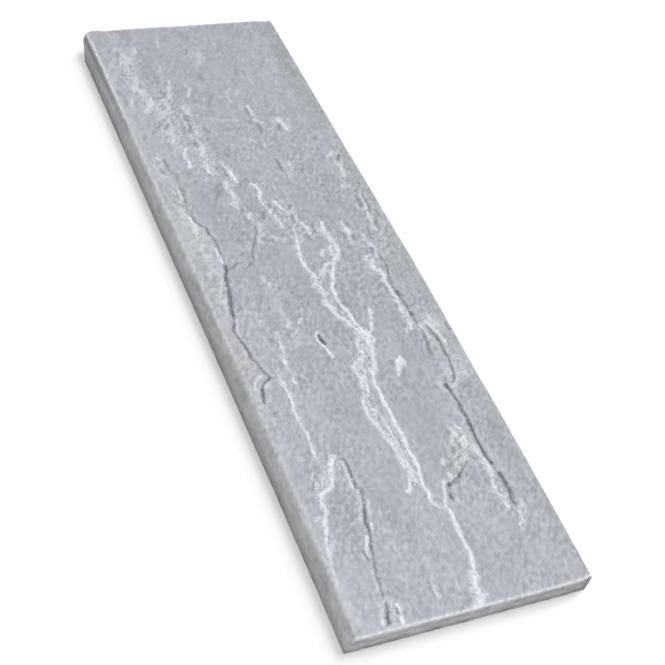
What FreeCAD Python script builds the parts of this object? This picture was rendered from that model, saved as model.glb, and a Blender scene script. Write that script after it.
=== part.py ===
import FreeCAD, Part
import os
import Sketcher

# A flat wall coping stone: one slab of grey stone with a riven top, dressed
# arrises, sawn ends and a sawn bed with a drip groove under each long side.
# X runs along the wall, Y across it and Z up; the origin is the middle of the bed.

# Driving sizes in millimetres
SIZES = [
    ("length", 1000, "end to end"),
    ("width", 300, "across the two long sides"),
    ("thickness", 30, "bed to top"),
    ("arris_run", 5, "bevel of a long top edge, measured across the top"),
    ("arris_drop", 7, "bevel of a long top edge, measured down the side"),
    ("end_arris", 1.5, "bevel round the edges of an end"),
    ("groove_width", 5, "drip groove, wall to wall"),
    ("groove_depth", 5, "drip groove, bed to crown"),
    ("groove_margin", 18, "long side to the near wall of its drip groove"),
]
NODE = "coping_stone"
SAME_PLACE = 1e-6


def write_sizes(doc):
    """Put the driving sizes in a sheet, one named cell each."""
    sheet = doc.addObject("Spreadsheet::Sheet", "Sizes")
    for row, (name, value, meaning) in enumerate(SIZES, start=1):
        sheet.set(f"A{row}", name)
        sheet.set(f"B{row}", str(value))
        sheet.set(f"C{row}", meaning)
        sheet.setAlias(f"B{row}", name)
    doc.recompute()
    return sheet


def origin_plane(body, role):
    """The body's own origin plane with this role."""
    for feature in body.Origin.OriginFeatures:
        if feature.Role == role:
            return feature
    raise RuntimeError(f"no origin plane {role}")


def section_sketch(body, name):
    """An empty sketch across the slab: its x is the slab's Y and its y is Z."""
    sketch = body.newObject("Sketcher::SketchObject", name)
    sketch.AttachmentSupport = [(origin_plane(body, "YZ_Plane"), "")]
    sketch.MapMode = "FlatFace"
    return sketch


def draw_outline(sketch, points):
    """Closed run of straight lines through the points, joined end to end."""
    corners = [FreeCAD.Vector(x, y, 0) for x, y in points]
    lines = []
    for start, end in zip(corners, corners[1:] + corners[:1]):
        lines.append(sketch.addGeometry(Part.LineSegment(start, end), False))
    for line, following in zip(lines, lines[1:] + lines[:1]):
        sketch.addConstraint(Sketcher.Constraint("Coincident", line, 2, following, 1))
    return lines


def set_size(sketch, name, constraint, expression):
    """Add a dimension to the sketch and tie it to the sheet."""
    index = sketch.addConstraint(constraint)
    sketch.renameConstraint(index, name)
    sketch.setExpression(f"Constraints.{name}", expression)


def slab_section(body, sheet):
    """Section of the slab: flat bed, upright sides and a bevel up to the top."""
    side = sheet.width / 2
    shoulder = sheet.thickness - sheet.arris_drop
    top_side = side - sheet.arris_run
    sketch = section_sketch(body, "SlabSection")
    bed, right, right_arris, top, left_arris, left = draw_outline(
        sketch,
        [
            (-side, 0),
            (side, 0),
            (side, shoulder),
            (top_side, sheet.thickness),
            (-top_side, sheet.thickness),
            (-side, shoulder),
        ],
    )
    sketch.addConstraint(Sketcher.Constraint("Horizontal", bed))
    sketch.addConstraint(Sketcher.Constraint("Vertical", right))
    sketch.addConstraint(Sketcher.Constraint("Vertical", left))
    sketch.addConstraint(Sketcher.Constraint("Symmetric", bed, 1, bed, 2, -1, 1))
    sketch.addConstraint(Sketcher.Constraint("Symmetric", top, 1, top, 2, -2))
    sketch.addConstraint(Sketcher.Constraint("Equal", left, right))
    across = Sketcher.Constraint("DistanceX", bed, 1, bed, 2, sheet.width)
    set_size(sketch, "Width", across, "Sizes.width")
    upward = Sketcher.Constraint("DistanceY", bed, 2, top, 1, sheet.thickness)
    set_size(sketch, "Thickness", upward, "Sizes.thickness")
    run = Sketcher.Constraint("DistanceX", right_arris, 2, right_arris, 1, sheet.arris_run)
    set_size(sketch, "ArrisRun", run, "Sizes.arris_run")
    drop = Sketcher.Constraint("DistanceY", right_arris, 1, right_arris, 2, sheet.arris_drop)
    set_size(sketch, "ArrisDrop", drop, "Sizes.arris_drop")
    return sketch


def slab(body, sheet):
    """The stone itself, its section carried along the wall."""
    pad = body.newObject("PartDesign::Pad", "Slab")
    pad.Profile = slab_section(body, sheet)
    pad.SideType = "Symmetric"
    pad.setExpression("Length", "Sizes.length")
    return pad


def groove_section(body, sheet):
    """Section of one drip groove: upright walls under a half-round crown."""
    crown_radius = sheet.groove_width / 2
    outer_wall = sheet.width / 2 - sheet.groove_margin
    inner_wall = outer_wall - sheet.groove_width
    spring = sheet.groove_depth - crown_radius
    sketch = section_sketch(body, "GrooveSection")
    mouth_line = Part.LineSegment(FreeCAD.Vector(inner_wall, 0, 0), FreeCAD.Vector(outer_wall, 0, 0))
    outer_line = Part.LineSegment(FreeCAD.Vector(outer_wall, 0, 0), FreeCAD.Vector(outer_wall, spring, 0))
    crown_line = Part.Arc(
        FreeCAD.Vector(outer_wall, spring, 0),
        FreeCAD.Vector(outer_wall - crown_radius, sheet.groove_depth, 0),
        FreeCAD.Vector(inner_wall, spring, 0),
    )
    inner_line = Part.LineSegment(FreeCAD.Vector(inner_wall, spring, 0), FreeCAD.Vector(inner_wall, 0, 0))
    mouth = sketch.addGeometry(mouth_line, False)
    outer = sketch.addGeometry(outer_line, False)
    crown = sketch.addGeometry(crown_line, False)
    inner = sketch.addGeometry(inner_line, False)
    sketch.addConstraint(Sketcher.Constraint("Coincident", mouth, 2, outer, 1))
    sketch.addConstraint(Sketcher.Constraint("Tangent", outer, 2, crown, 1))
    sketch.addConstraint(Sketcher.Constraint("Tangent", crown, 2, inner, 1))
    sketch.addConstraint(Sketcher.Constraint("Coincident", inner, 2, mouth, 1))
    sketch.addConstraint(Sketcher.Constraint("PointOnObject", mouth, 1, -1))
    sketch.addConstraint(Sketcher.Constraint("PointOnObject", mouth, 2, -1))
    sketch.addConstraint(Sketcher.Constraint("Vertical", outer))
    sketch.addConstraint(Sketcher.Constraint("Vertical", inner))
    place = Sketcher.Constraint("DistanceX", -1, 1, mouth, 2, outer_wall)
    set_size(sketch, "OuterWall", place, "Sizes.width / 2 - Sizes.groove_margin")
    mouth_size = Sketcher.Constraint("DistanceX", mouth, 1, mouth, 2, sheet.groove_width)
    set_size(sketch, "GrooveWidth", mouth_size, "Sizes.groove_width")
    rise = Sketcher.Constraint("DistanceY", outer, 1, outer, 2, spring)
    set_size(sketch, "WallHeight", rise, "Sizes.groove_depth - Sizes.groove_width / 2")
    return sketch


def drip_grooves(body, sheet):
    """A groove under each long side that makes rain drip clear of the wall."""
    pocket = body.newObject("PartDesign::Pocket", "DripGroove")
    pocket.Profile = groove_section(body, sheet)
    pocket.Type = "ThroughAll"
    pocket.SideType = "Symmetric"
    mirrored = body.newObject("PartDesign::Mirrored", "DripGrooves")
    mirrored.Originals = [pocket]
    mirrored.MirrorPlane = (origin_plane(body, "XZ_Plane"), [""])
    body.Tip = mirrored
    return mirrored


def end_edges(shape, sheet):
    """Names of the edges round each end, from the bed over the top and down again."""
    names = []
    for number, edge in enumerate(shape.Edges, start=1):
        first, last = (vertex.Point for vertex in edge.Vertexes)
        at_one_end = abs(first.x - last.x) < SAME_PLACE and abs(abs(first.x) - sheet.length / 2) < SAME_PLACE
        above_bed = max(first.z, last.z) > sheet.groove_depth + SAME_PLACE
        if at_one_end and above_bed:
            names.append(f"Edge{number}")
    return names


def end_arrises(body, sheet, base):
    """Take the sharpness off the edges round both ends."""
    chamfer = body.newObject("PartDesign::Chamfer", "EndArrises")
    chamfer.Base = (base, end_edges(base.Shape, sheet))
    chamfer.setExpression("Size", "Sizes.end_arris")
    body.Tip = chamfer
    return chamfer


def check(doc, body):
    """Stop if any object of the document failed or the stone is not one sound solid."""
    for thing in doc.Objects:
        if "Invalid" in thing.State or "Error" in thing.State:
            raise RuntimeError(f"{thing.Name} failed: {thing.State}")
    if body.Shape.isNull() or not body.Shape.isValid() or len(body.Shape.Solids) != 1:
        raise RuntimeError(f"{body.Label} is not one sound solid")


def main():
    doc = FreeCAD.newDocument("CopingStone")
    sheet = write_sizes(doc)
    body = doc.addObject("PartDesign::Body", NODE)
    body.Label = NODE
    whole = slab(body, sheet)
    doc.recompute()
    grooved = drip_grooves(body, sheet)
    doc.recompute()
    if grooved.Shape.Volume >= whole.Shape.Volume:
        raise RuntimeError("the drip grooves cut nothing")
    dressed = end_arrises(body, sheet, grooved)
    doc.recompute()
    if dressed.Shape.Volume >= grooved.Shape.Volume:
        raise RuntimeError("the end arrises cut nothing")
    check(doc, body)
    os.makedirs("parts", exist_ok=True)
    body.Shape.exportStep(f"parts/{body.Label}.step")


main()
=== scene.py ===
import math
from collections import namedtuple

import bmesh
import bpy
import numpy as np
from mathutils import Matrix, Vector, noise


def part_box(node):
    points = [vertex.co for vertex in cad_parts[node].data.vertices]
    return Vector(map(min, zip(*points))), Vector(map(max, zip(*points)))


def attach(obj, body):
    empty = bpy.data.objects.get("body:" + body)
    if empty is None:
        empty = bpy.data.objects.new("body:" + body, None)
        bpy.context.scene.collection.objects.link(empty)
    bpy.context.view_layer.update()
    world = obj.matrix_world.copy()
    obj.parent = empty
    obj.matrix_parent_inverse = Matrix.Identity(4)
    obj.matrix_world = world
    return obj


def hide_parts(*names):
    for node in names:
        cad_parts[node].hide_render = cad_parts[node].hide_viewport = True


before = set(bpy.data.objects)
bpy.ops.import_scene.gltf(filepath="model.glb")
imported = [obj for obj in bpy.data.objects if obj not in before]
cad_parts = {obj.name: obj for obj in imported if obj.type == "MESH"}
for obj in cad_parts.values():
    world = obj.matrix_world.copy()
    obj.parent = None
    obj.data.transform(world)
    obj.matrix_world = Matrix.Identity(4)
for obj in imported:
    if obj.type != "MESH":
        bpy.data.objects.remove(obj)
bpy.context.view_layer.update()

# A flat wall coping stone: one slab with a riven top, dressed arrises and sawn sides, ends and bed.
# The mesh is in metres. Places on the top are written in millimetres as (along, across):
# along runs from the far end to the near end, across from the left edge of the top to the right.

# Sizes of the slab
MM = 0.001
LOW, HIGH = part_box("coping_stone")
LENGTH = HIGH.x - LOW.x
WIDTH = HIGH.y - LOW.y
THICKNESS = HIGH.z - LOW.z
HALF_LENGTH = LENGTH / 2
HALF_WIDTH = WIDTH / 2
ARRIS_RUN = 5 * MM
ARRIS_DROP = 7 * MM
END_ARRIS = 1.5 * MM
GROOVE_WIDTH = 5 * MM
GROOVE_DEPTH = 5 * MM
GROOVE_MARGIN = 18 * MM
SHOULDER = THICKNESS - ARRIS_DROP
TOP_SIDE = HALF_WIDTH - ARRIS_RUN

# Cells of the mesh
LENGTH_CELLS = 480
WIDTH_CELLS = 140
SIDE_ROWS = 9
ARRIS_ROWS = 4
END_ARRIS_STEPS = 2
CROWN_STEPS = 6
CELL = LENGTH / LENGTH_CELLS
SAME_PLANE = 0.01 * MM
SAME_POINT = 0.05 * MM

# Least upward share of a face of the riven top, and the angle from which an edge is drawn sharp
TOP_FACING = 0.9
SHARP_ANGLE = math.radians(40)

# Camera, fitted to the four corners and the lower edges of the photographed slab
EYE = Vector((1.0390, -0.6895, 1.2129))
TARGET = Vector((0.1069, -0.0084, 0.0300))
ROLL = math.radians(18.536)
LENS_MM = 74.29
SENSOR_MM = 36

# Studio: half the floor's width in metres, strengths of its own glow and of the surround, and colours
FLOOR_REACH = 6
FLOOR_GLOW = 0.25
SURROUND_LIGHT = 0.5
FLOOR_GREY = (0.9, 0.9, 0.9, 1)
WHITE = (1, 1, 1, 1)

# How far each edge stands outside the straight slab, in millimetres, against the share of its length.
# The long edges run from the far end, the end edges from the left.
RIGHT_EDGE = [(0, -4.6), (0.05, -3.7), (0.15, -2.8), (0.3, -1.0), (0.4, 0.3), (0.5, 1.5), (0.6, 1.5),
              (0.7, 0.0), (0.75, 0.3), (0.85, -0.6), (0.92, -1.7), (0.97, -2.8), (1, -3.2)]
LEFT_EDGE = [(0, -0.4), (0.4, -0.4), (0.55, -0.9), (0.8, -0.8), (0.92, 0), (1, 1.2)]
FAR_EDGE = [(0, -4.0), (0.012, -1.5), (0.03, -0.2), (0.06, 0), (0.1, -2.2), (0.2, -0.6), (0.4, 0),
            (0.45, -1), (0.55, 0.2), (0.65, 1.0), (0.8, 1.8), (0.95, 1.6), (1, 1.0)]
NEAR_EDGE = [(0, -0.6), (0.5, -0.2), (0.9, -0.3), (0.94, -0.6), (0.97, -1.4), (1, -3.2)]

# How far the top of the left edge is worn back, in millimetres, against the share of its length
LEFT_WEAR = [(0, 0.8), (0.1, 1.8), (0.4, 1.8), (0.6, 2.4), (0.95, 2.4), (1, 1.0)]

# Pale rim of the left arris against millimetres along: how far down it reaches, in millimetres, and how pale
LEFT_WORN_DEPTH = [(0, 2.6), (150, 2.6), (350, 3.2), (550, 2.6), (720, 3.8), (850, 3.6), (940, 2.6),
                   (1000, 2.4)]
LEFT_WORN = [(0, 1), (130, 0.9), (220, 0.5), (600, 0.4), (700, 0.2), (820, 0.2), (900, 0.5), (1000, 0.5)]

# Unevenness of the edges: how far in it dies out, the small bites in every edge and the swell of the arrises
EDGE_REACH = 40 * MM
BITE = 0.35 * MM
BITE_LENGTH = 14 * MM
BITE_HEIGHT = 9 * MM
ARRIS_SWELL = 0.6 * MM
ARRIS_START = 0.5 * MM

# Near end, undercut towards its foot, where only a share of its unevenness is left
NEAR_UNDERCUT = 2.8 * MM
NEAR_FOOT_SHARE = 0.25

# Lower corner lost at the left of the far end
LOST_CORNER = 24 * MM
LOST_CORNER_REACH = 60 * MM
LOST_CORNER_CURVE = 0.8

# Widths of the bands in which the end faces begin and the rims are worn pale
END_BAND = 4.5 * MM
RIM_BAND = 4 * MM
RIM_FADE = 2 * MM

# Relief of the riven top, in millimetres, and the slices of cloud noise that its swell and split follow
VEIN_RISE = 0.15
CLEFT_DEPTH = 0.25
SWELL_RISE = 0.5
SWELL_LENGTH = 160
SWELL_WIDTH = 90
SWELL_SLICE = 0.0
SPLIT_RISE = 0.18
ROUGH_RISE = 0.25
SPLIT_LENGTH = 30
SPLIT_WIDTH = 12
SPLIT_SLICE = 7.0
LEDGE_FADE = 45

# Cloud noise of the mesh: how fast its finer octaves fade, and how much finer each is than the last
CLOUD_FADE = 0.9
CLOUD_FINENESS = 2.1

# Gap in millimetres past which no strand counts, and share of a soft one's half width at full strength
FAR_AWAY = 500.0
SOFT_CORE = 0.15

# Slant of the grain of the split face against the length, and the stretch of its lens-shaped grains
GRAIN_SLANT = math.radians(29)
LENS = (0.65, 1, 1)
EVEN = (1, 1, 1)

# Colours of the stone as they look on screen, red, green and blue from 0 to 255
SPLIT_DARK = (138, 141, 149)
SPLIT_LIGHT = (226, 229, 238)
# Painted shade of pits, of gaps between crumbs and of the rims beside the veins
HOLLOW_SHADE_GREY = (134, 137, 143)
VEIN_WHITE = (238, 241, 248)
# Painted shade of the clefts, and the deeper painted shade of the strongest
CLEFT_SHADE_GREY = (124, 127, 133)
CLEFT_DEEP_SHADE = (84, 86, 92)
SIDE_DARK = (159, 162, 163)
SIDE_LIGHT = (217, 220, 221)
END_DARK = (150, 149, 152)
END_LIGHT = (216, 216, 218)
# Painted shade along the foot of the long sides and towards their far end; also darkens the far part of the
# arris
SIDE_SHADE_GREY = (116, 118, 118)
WORN_PALE = (242, 242, 245)

# Stains, which multiply the stone's colour
DAMP_STAIN = (0.99, 1.01, 0.94, 1)
BROWN_STAIN = (1.05, 0.99, 0.95, 1)
DAMP_SHARE = 0.7

# Tone of the split face, 0 dark and 1 light: its mean, and shares of mottling, grain, clumps and soft areas
SPLIT_TONE = 0.42
MOTTLE_TONE = 0.28
GRAIN_TONE = 1.1
CLUMP_TONE = 0.38
AREA_TONE = 0.11

# Tone of the sawn faces in the same way
SAWN_TONE = 0.5
SAWN_MOTTLE_TONE = 1.1
SAWN_GRAIN_TONE = 0.9

# Bands up a sawn end, bedding with painted shade in the low ones along the foot: share of the height from the
# foot, and tone
END_BANDS_AND_FOOT_SHADE = [(0.0, 0.42), (0.1, 0.3), (0.18, 0.3), (0.3, 0.55), (0.44, 0.72), (0.58, 0.58), (0.68, 0.42),
        (0.8, 0.6), (1.0, 0.75)]
BED_WAVER = 2.5 * MM

# Gloss of the stone and the depth of its finest relief
STONE_GLOSS = 0.25
FINE_RELIEF = 1.0 * MM

# Routes on the riven top: half width in millimetres, strength, about 1 for a clear one, and points passed
Strand = namedtuple("Strand", "half_width strength route")

# White calcite veins and flecks
VEINS = [
    # Left arm of the fork, from the upper middle down to the meeting point
    Strand(2.0, 0.7, [(298, 103), (306, 106)]),
    Strand(2.2, 1.0, [(312, 109), (322, 110), (333, 111)]),
    Strand(2.1, 0.9, [(340, 129), (343, 133), (350, 135), (358, 135), (365, 132), (372, 130), (381, 131)]),
    Strand(2.1, 0.85, [(391, 137), (397, 136)]),
    Strand(2.4, 0.9, [(402, 140), (412, 141)]),
    Strand(2.6, 0.9, [(415, 142), (423, 142)]),
    Strand(1.9, 0.9, [(376, 149), (384, 150), (392, 153)]),
    Strand(1.9, 0.9, [(422, 170), (431, 172), (437, 174), (443, 174)]),
    Strand(1.7, 0.7, [(425, 155), (438, 154), (450, 152)]),
    Strand(2.2, 1.0, [(450, 152), (458, 150), (470, 147), (485, 144), (502, 146)]),
    Strand(2.2, 0.95, [(502, 146), (508, 149), (517, 150)]),
    Strand(3.0, 0.95, [(526, 147), (537, 150), (549, 150), (561, 146), (566, 151), (577, 152)]),
    Strand(2.6, 0.95, [(577, 152), (584, 155), (591, 160), (598, 163), (605, 167), (613, 173), (619, 177)]),
    # Right arm of the fork, with its loop and the link across to the left arm
    Strand(3.2, 0.8, [(424, 197), (434, 195), (446, 196), (456, 198), (470, 199), (479, 197), (488, 192)]),
    Strand(2.2, 0.95, [(488, 190), (495, 185), (506, 180), (515, 175), (525, 171), (534, 166), (543, 165),
                       (553, 164), (563, 164), (572, 167), (580, 170), (591, 170), (601, 172), (610, 175)]),
    Strand(2.2, 0.8, [(468, 191), (480, 188), (488, 190)]),
    Strand(4.0, 0.5, [(466, 196), (480, 193)]),
    Strand(2.6, 0.68, [(496, 182), (497, 174), (503, 168), (512, 161), (521, 151), (531, 142)]),
    Strand(1.6, 0.5, [(506, 171), (519, 160), (527, 150)]),
    # Twig and spur above the meeting point
    Strand(2.4, 1.0, [(582, 198), (586, 197)]),
    Strand(2.0, 0.95, [(592, 195), (601, 192), (610, 187), (617, 183)]),
    Strand(2.0, 0.9, [(619, 181), (627, 185), (632, 180)]),
    # Trunk from the meeting point to the near end
    Strand(3.4, 0.95, [(612, 176), (620, 178), (627, 176), (639, 173), (650, 171)]),
    Strand(3.2, 1.0, [(650, 171), (662, 168), (671, 166), (673, 161)]),
    Strand(2.3, 1.0, [(673, 161), (684, 158), (693, 156), (703, 157), (716, 155), (728, 156), (740, 157),
                      (756, 156), (767, 157), (780, 156), (791, 155), (802, 156), (813, 157), (825, 154),
                      (832, 152), (841, 151), (851, 153), (858, 151)]),
    Strand(1.8, 0.85, [(858, 151), (863, 150), (869, 155), (873, 157)]),
    Strand(1.8, 0.9, [(867, 166), (873, 164), (880, 167)]),
    Strand(2.2, 1.0, [(880, 167), (888, 166), (899, 165), (908, 164), (922, 164), (933, 165), (940, 163),
                      (948, 161), (959, 158)]),
    Strand(4.6, 0.95, [(959, 157), (966, 153), (978, 152)]),
    Strand(8.0, 0.9, [(978, 151), (985, 149), (994, 146), (999, 144)]),
    # Left strand that leaves the trunk and runs beside it
    Strand(2.6, 0.85, [(620, 170), (624, 163), (631, 159), (641, 160), (650, 161)]),
    Strand(2.4, 0.9, [(653, 153), (657, 146), (662, 142), (674, 142), (680, 141)]),
    Strand(2.0, 0.85, [(655, 155), (665, 152), (676, 150), (683, 145), (688, 141), (695, 138)]),
    Strand(2.6, 0.95, [(693, 144), (702, 143), (707, 142)]),
    Strand(2.4, 0.85, [(707, 137), (711, 132), (717, 130), (726, 129), (740, 129), (748, 133), (757, 135),
                       (768, 136)]),
    Strand(2.4, 1.0, [(774, 138), (780, 139)]),
    Strand(2.0, 0.8, [(780, 139), (789, 140), (800, 139), (812, 140), (824, 141), (832, 138), (840, 135)]),
    Strand(2.4, 1.0, [(840, 135), (844, 130)]),
    Strand(2.4, 0.95, [(729, 138), (732, 138)]),
    Strand(1.6, 0.75, [(740, 144), (752, 145), (768, 145), (780, 147), (796, 146), (810, 146), (822, 147),
                       (834, 145)]),
    # Long thin veins on the left and the one that crosses their foot
    Strand(1.4, 0.45, [(594, 69), (608, 67)]),
    Strand(1.8, 0.9, [(609, 67), (617, 66), (624, 65), (630, 63)]),
    Strand(1.9, 1.0, [(635, 61), (643, 61)]),
    Strand(1.2, 0.5, [(643, 61), (662, 61)]),
    Strand(1.9, 1.0, [(664, 62), (671, 61)]),
    Strand(1.4, 0.6, [(656, 46), (667, 47)]),
    Strand(2.0, 1.0, [(668, 48), (673, 47)]),
    Strand(1.4, 0.8, [(673, 47), (684, 48)]),
    Strand(2.0, 1.0, [(684, 49), (691, 48)]),
    Strand(1.6, 0.9, [(691, 48), (703, 47), (709, 45), (717, 45), (726, 45), (734, 46), (744, 48), (757, 46),
                      (777, 44)]),
    Strand(1.4, 0.5, [(777, 44), (790, 46), (803, 47)]),
    Strand(2.6, 1.0, [(781, 66), (785, 61), (795, 56), (802, 53), (808, 50), (817, 48), (821, 42)]),
    Strand(2.8, 1.0, [(821, 42), (822, 36), (826, 31), (834, 28), (842, 27), (850, 28), (854, 24),
                      (862, 20)]),
    Strand(2.5, 0.95, [(862, 20), (869, 18), (877, 14), (884, 12)]),
    Strand(1.9, 0.8, [(884, 12), (892, 9), (903, 7)]),
    Strand(1.5, 0.55, [(903, 7), (914, 5), (934, 4)]),
    Strand(1.6, 0.7, [(854, 24), (853, 15), (856, 10)]),
    Strand(1.4, 0.7, [(797, 33), (803, 29), (809, 32), (816, 29)]),
    Strand(1.4, 0.65, [(806, 41), (812, 37), (819, 36)]),
    # Vein along the left of the right-hand cleft
    Strand(1.7, 0.65, [(455, 244), (464, 243)]),
    Strand(2.5, 0.85, [(471, 247), (475, 248)]),
    Strand(1.7, 0.65, [(479, 250), (486, 249)]),
    Strand(1.9, 0.7, [(489, 247), (494, 246)]),
    Strand(2.6, 0.75, [(496, 230), (499, 230)]),
    Strand(3.4, 0.95, [(503, 236), (512, 233), (520, 239), (528, 241)]),
    Strand(2.3, 0.85, [(528, 240), (541, 239), (549, 239), (561, 239), (568, 242), (579, 240), (591, 239)]),
    Strand(2.2, 0.85, [(595, 244), (601, 243), (608, 240)]),
    Strand(2.2, 1.0, [(613, 240), (619, 240)]),
    Strand(1.5, 0.7, [(620, 233), (624, 231)]),
    # Loop of pale lines below its middle
    Strand(1.6, 0.75, [(613, 261), (622, 265), (632, 270), (641, 271), (651, 273)]),
    Strand(2.0, 0.85, [(606, 270), (612, 269)]),
    Strand(1.5, 0.7, [(615, 272), (623, 276)]),
    Strand(1.6, 0.65, [(616, 252), (622, 255)]),
    Strand(1.6, 0.65, [(629, 255), (640, 257)]),
    Strand(1.4, 0.6, [(706, 262), (712, 256), (717, 249)]),
    # Rough hollow on the right and the pale rim below it
    Strand(2.2, 0.95, [(773, 226), (777, 230)]),
    Strand(1.8, 0.8, [(781, 221), (786, 216)]),
    Strand(2.2, 0.9, [(789, 229), (799, 229)]),
    Strand(1.6, 0.8, [(796, 222), (803, 224)]),
    Strand(1.9, 0.75, [(792, 213), (797, 211)]),
    Strand(2.4, 0.8, [(801, 235), (813, 234), (821, 237), (830, 240), (841, 239), (849, 237)]),
    Strand(2.4, 0.85, [(849, 237), (856, 234), (867, 233), (874, 234), (883, 235), (890, 236)]),
    Strand(1.8, 0.8, [(875, 241), (880, 238)]),
    Strand(1.4, 0.5, [(867, 226), (870, 231)]),
    Strand(1.8, 0.75, [(813, 190), (818, 187)]),
    Strand(1.6, 0.75, [(819, 205), (824, 202)]),
    Strand(1.4, 0.65, [(817, 216), (824, 212)]),
    Strand(2.2, 0.85, [(833, 188), (837, 188)]),
    Strand(2.2, 1.0, [(842, 177), (845, 175)]),
    Strand(1.7, 0.9, [(845, 175), (850, 173), (858, 171)]),
    Strand(1.5, 0.7, [(858, 171), (866, 167)]),
    Strand(1.2, 0.75, [(844, 183), (841, 190), (837, 196)]),
    Strand(1.7, 0.85, [(898, 247), (907, 246), (912, 243), (916, 239)]),
    Strand(1.8, 0.7, [(888, 255), (893, 253)]),
    Strand(1.6, 0.6, [(897, 255), (902, 253)]),
    Strand(1.3, 0.5, [(919, 239), (922, 236)]),
    # Star-shaped spot and the scratch beside the notch
    Strand(3.6, 1.2, [(664, 204), (669, 203)]),
    Strand(3.8, 1.2, [(666, 199), (672, 198)]),
    Strand(2.8, 1.15, [(672, 197), (680, 194)]),
    Strand(1.9, 0.85, [(680, 194), (687, 190)]),
    Strand(1.6, 0.5, [(660, 192), (662, 197)]),
    Strand(1.1, 0.75, [(601, 120), (607, 114), (614, 113), (622, 115)]),
    Strand(1.4, 1.0, [(622, 116), (632, 119)]),
    Strand(1.8, 1.0, [(632, 119), (643, 122)]),
    # Pale edges of the left-hand cleft
    Strand(1.5, 0.6, [(284, 24), (291, 20), (299, 22), (304, 26)]),
    Strand(2.2, 0.85, [(337, 28), (347, 28), (356, 28)]),
    Strand(2.0, 0.6, [(274, 20), (279, 22)]),
    Strand(2.1, 1.0, [(388, 27), (396, 27), (403, 30)]),
    Strand(2.0, 0.7, [(411, 28), (423, 24)]),
    Strand(2.0, 0.7, [(438, 27), (446, 23)]),
    Strand(1.7, 0.85, [(446, 42), (456, 42)]),
    Strand(2.0, 1.0, [(463, 44), (472, 42)]),
    Strand(1.3, 0.55, [(502, 30), (513, 25), (524, 21), (534, 17)]),
    Strand(1.8, 0.75, [(532, 24), (538, 22)]),
    Strand(1.2, 0.5, [(565, 28), (573, 24), (582, 21), (592, 22)]),
    Strand(1.5, 0.6, [(653, 26), (657, 18), (663, 12), (672, 9)]),
    Strand(2.4, 0.55, [(666, 30), (671, 26)]),
    # Pale edges of the near left crack
    Strand(1.3, 0.75, [(790, 71), (800, 72), (812, 71), (825, 70)]),
    Strand(2.2, 1.0, [(889, 60), (893, 57)]),
    Strand(1.8, 0.95, [(897, 55), (902, 53), (908, 52), (917, 53)]),
    Strand(1.6, 0.75, [(874, 71), (879, 69)]),
    Strand(1.2, 0.55, [(845, 80), (853, 77), (862, 75)]),
    Strand(1.2, 0.6, [(928, 48), (944, 46), (952, 44)]),
    Strand(1.4, 0.55, [(961, 50), (967, 44), (970, 39)]),
    Strand(1.3, 0.6, [(972, 40), (979, 39), (984, 36)]),
    Strand(1.9, 0.8, [(985, 35), (990, 33)]),
    Strand(2.2, 1.0, [(973, 57), (981, 58)]),
    Strand(1.3, 0.7, [(981, 58), (988, 57)]),
    Strand(2.2, 1.0, [(988, 56), (995, 54)]),
    Strand(1.3, 0.6, [(970, 52), (977, 50), (984, 50)]),
    # Flecks of the far quarter
    Strand(1.8, 0.43, [(78, 14), (84, 12)]),
    Strand(2.0, 0.46, [(158, 21), (168, 17)]),
    Strand(2.7, 0.46, [(72, 34), (80, 29)]),
    Strand(2.5, 0.39, [(86, 33), (95, 36)]),
    Strand(2.7, 0.51, [(60, 50), (68, 44), (77, 43)]),
    Strand(2.9, 0.54, [(110, 41), (122, 39), (131, 36)]),
    Strand(4.2, 0.62, [(155, 48), (165, 45), (172, 42), (180, 36)]),
    Strand(4.5, 0.6, [(133, 33), (139, 39), (146, 42)]),
    Strand(4.5, 0.42, [(66, 45), (78, 39), (93, 35)]),
    Strand(2.1, 0.51, [(47, 59), (57, 58)]),
    Strand(1.9, 0.46, [(203, 61), (210, 52), (216, 47)]),
    Strand(1.8, 0.39, [(214, 62), (220, 56), (226, 50)]),
    Strand(2.9, 0.7, [(226, 55), (233, 54), (240, 55), (248, 51)]),
    Strand(2.7, 0.62, [(183, 59), (189, 57)]),
    Strand(2.1, 0.51, [(157, 70), (165, 67), (180, 66), (188, 68)]),
    Strand(2.6, 0.58, [(136, 82), (142, 79)]),
    Strand(2.9, 0.66, [(150, 78), (157, 75)]),
    Strand(2.1, 0.43, [(91, 83), (101, 80)]),
    Strand(1.6, 0.51, [(122, 86), (131, 84)]),
    Strand(2.7, 0.66, [(178, 88), (183, 89)]),
    Strand(2.5, 0.7, [(187, 91), (195, 90)]),
    Strand(1.9, 0.54, [(233, 81), (239, 79)]),
    Strand(1.9, 0.62, [(142, 110), (150, 106), (158, 103)]),
    Strand(2.0, 0.39, [(131, 108), (136, 106)]),
    Strand(3.2, 0.33, [(37, 97), (45, 95)]),
    Strand(3.8, 0.35, [(70, 148), (76, 145), (90, 143)]),
    Strand(2.0, 0.35, [(45, 180), (56, 177)]),
    Strand(1.8, 0.35, [(149, 167), (156, 160), (168, 158), (176, 161)]),
    Strand(1.9, 0.39, [(155, 177), (161, 172)]),
    Strand(2.1, 0.7, [(188, 180), (196, 181), (206, 181)]),
    Strand(2.7, 0.43, [(216, 180), (222, 185), (224, 190)]),
    Strand(3.4, 0.22, [(207, 118), (211, 127)]),
    Strand(3.0, 0.28, [(213, 135), (214, 143)]),
    Strand(2.6, 0.3, [(215, 149), (215, 159)]),
    Strand(2.0, 0.35, [(132, 205), (141, 206)]),
    Strand(1.9, 0.31, [(112, 195), (128, 195)]),
    Strand(3.5, 0.77, [(221, 214), (230, 217), (241, 218)]),
    Strand(2.1, 0.54, [(221, 228), (226, 227)]),
    # Flecks of the middle
    Strand(2.5, 0.8, [(262, 64), (270, 60), (279, 58)]),
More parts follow.
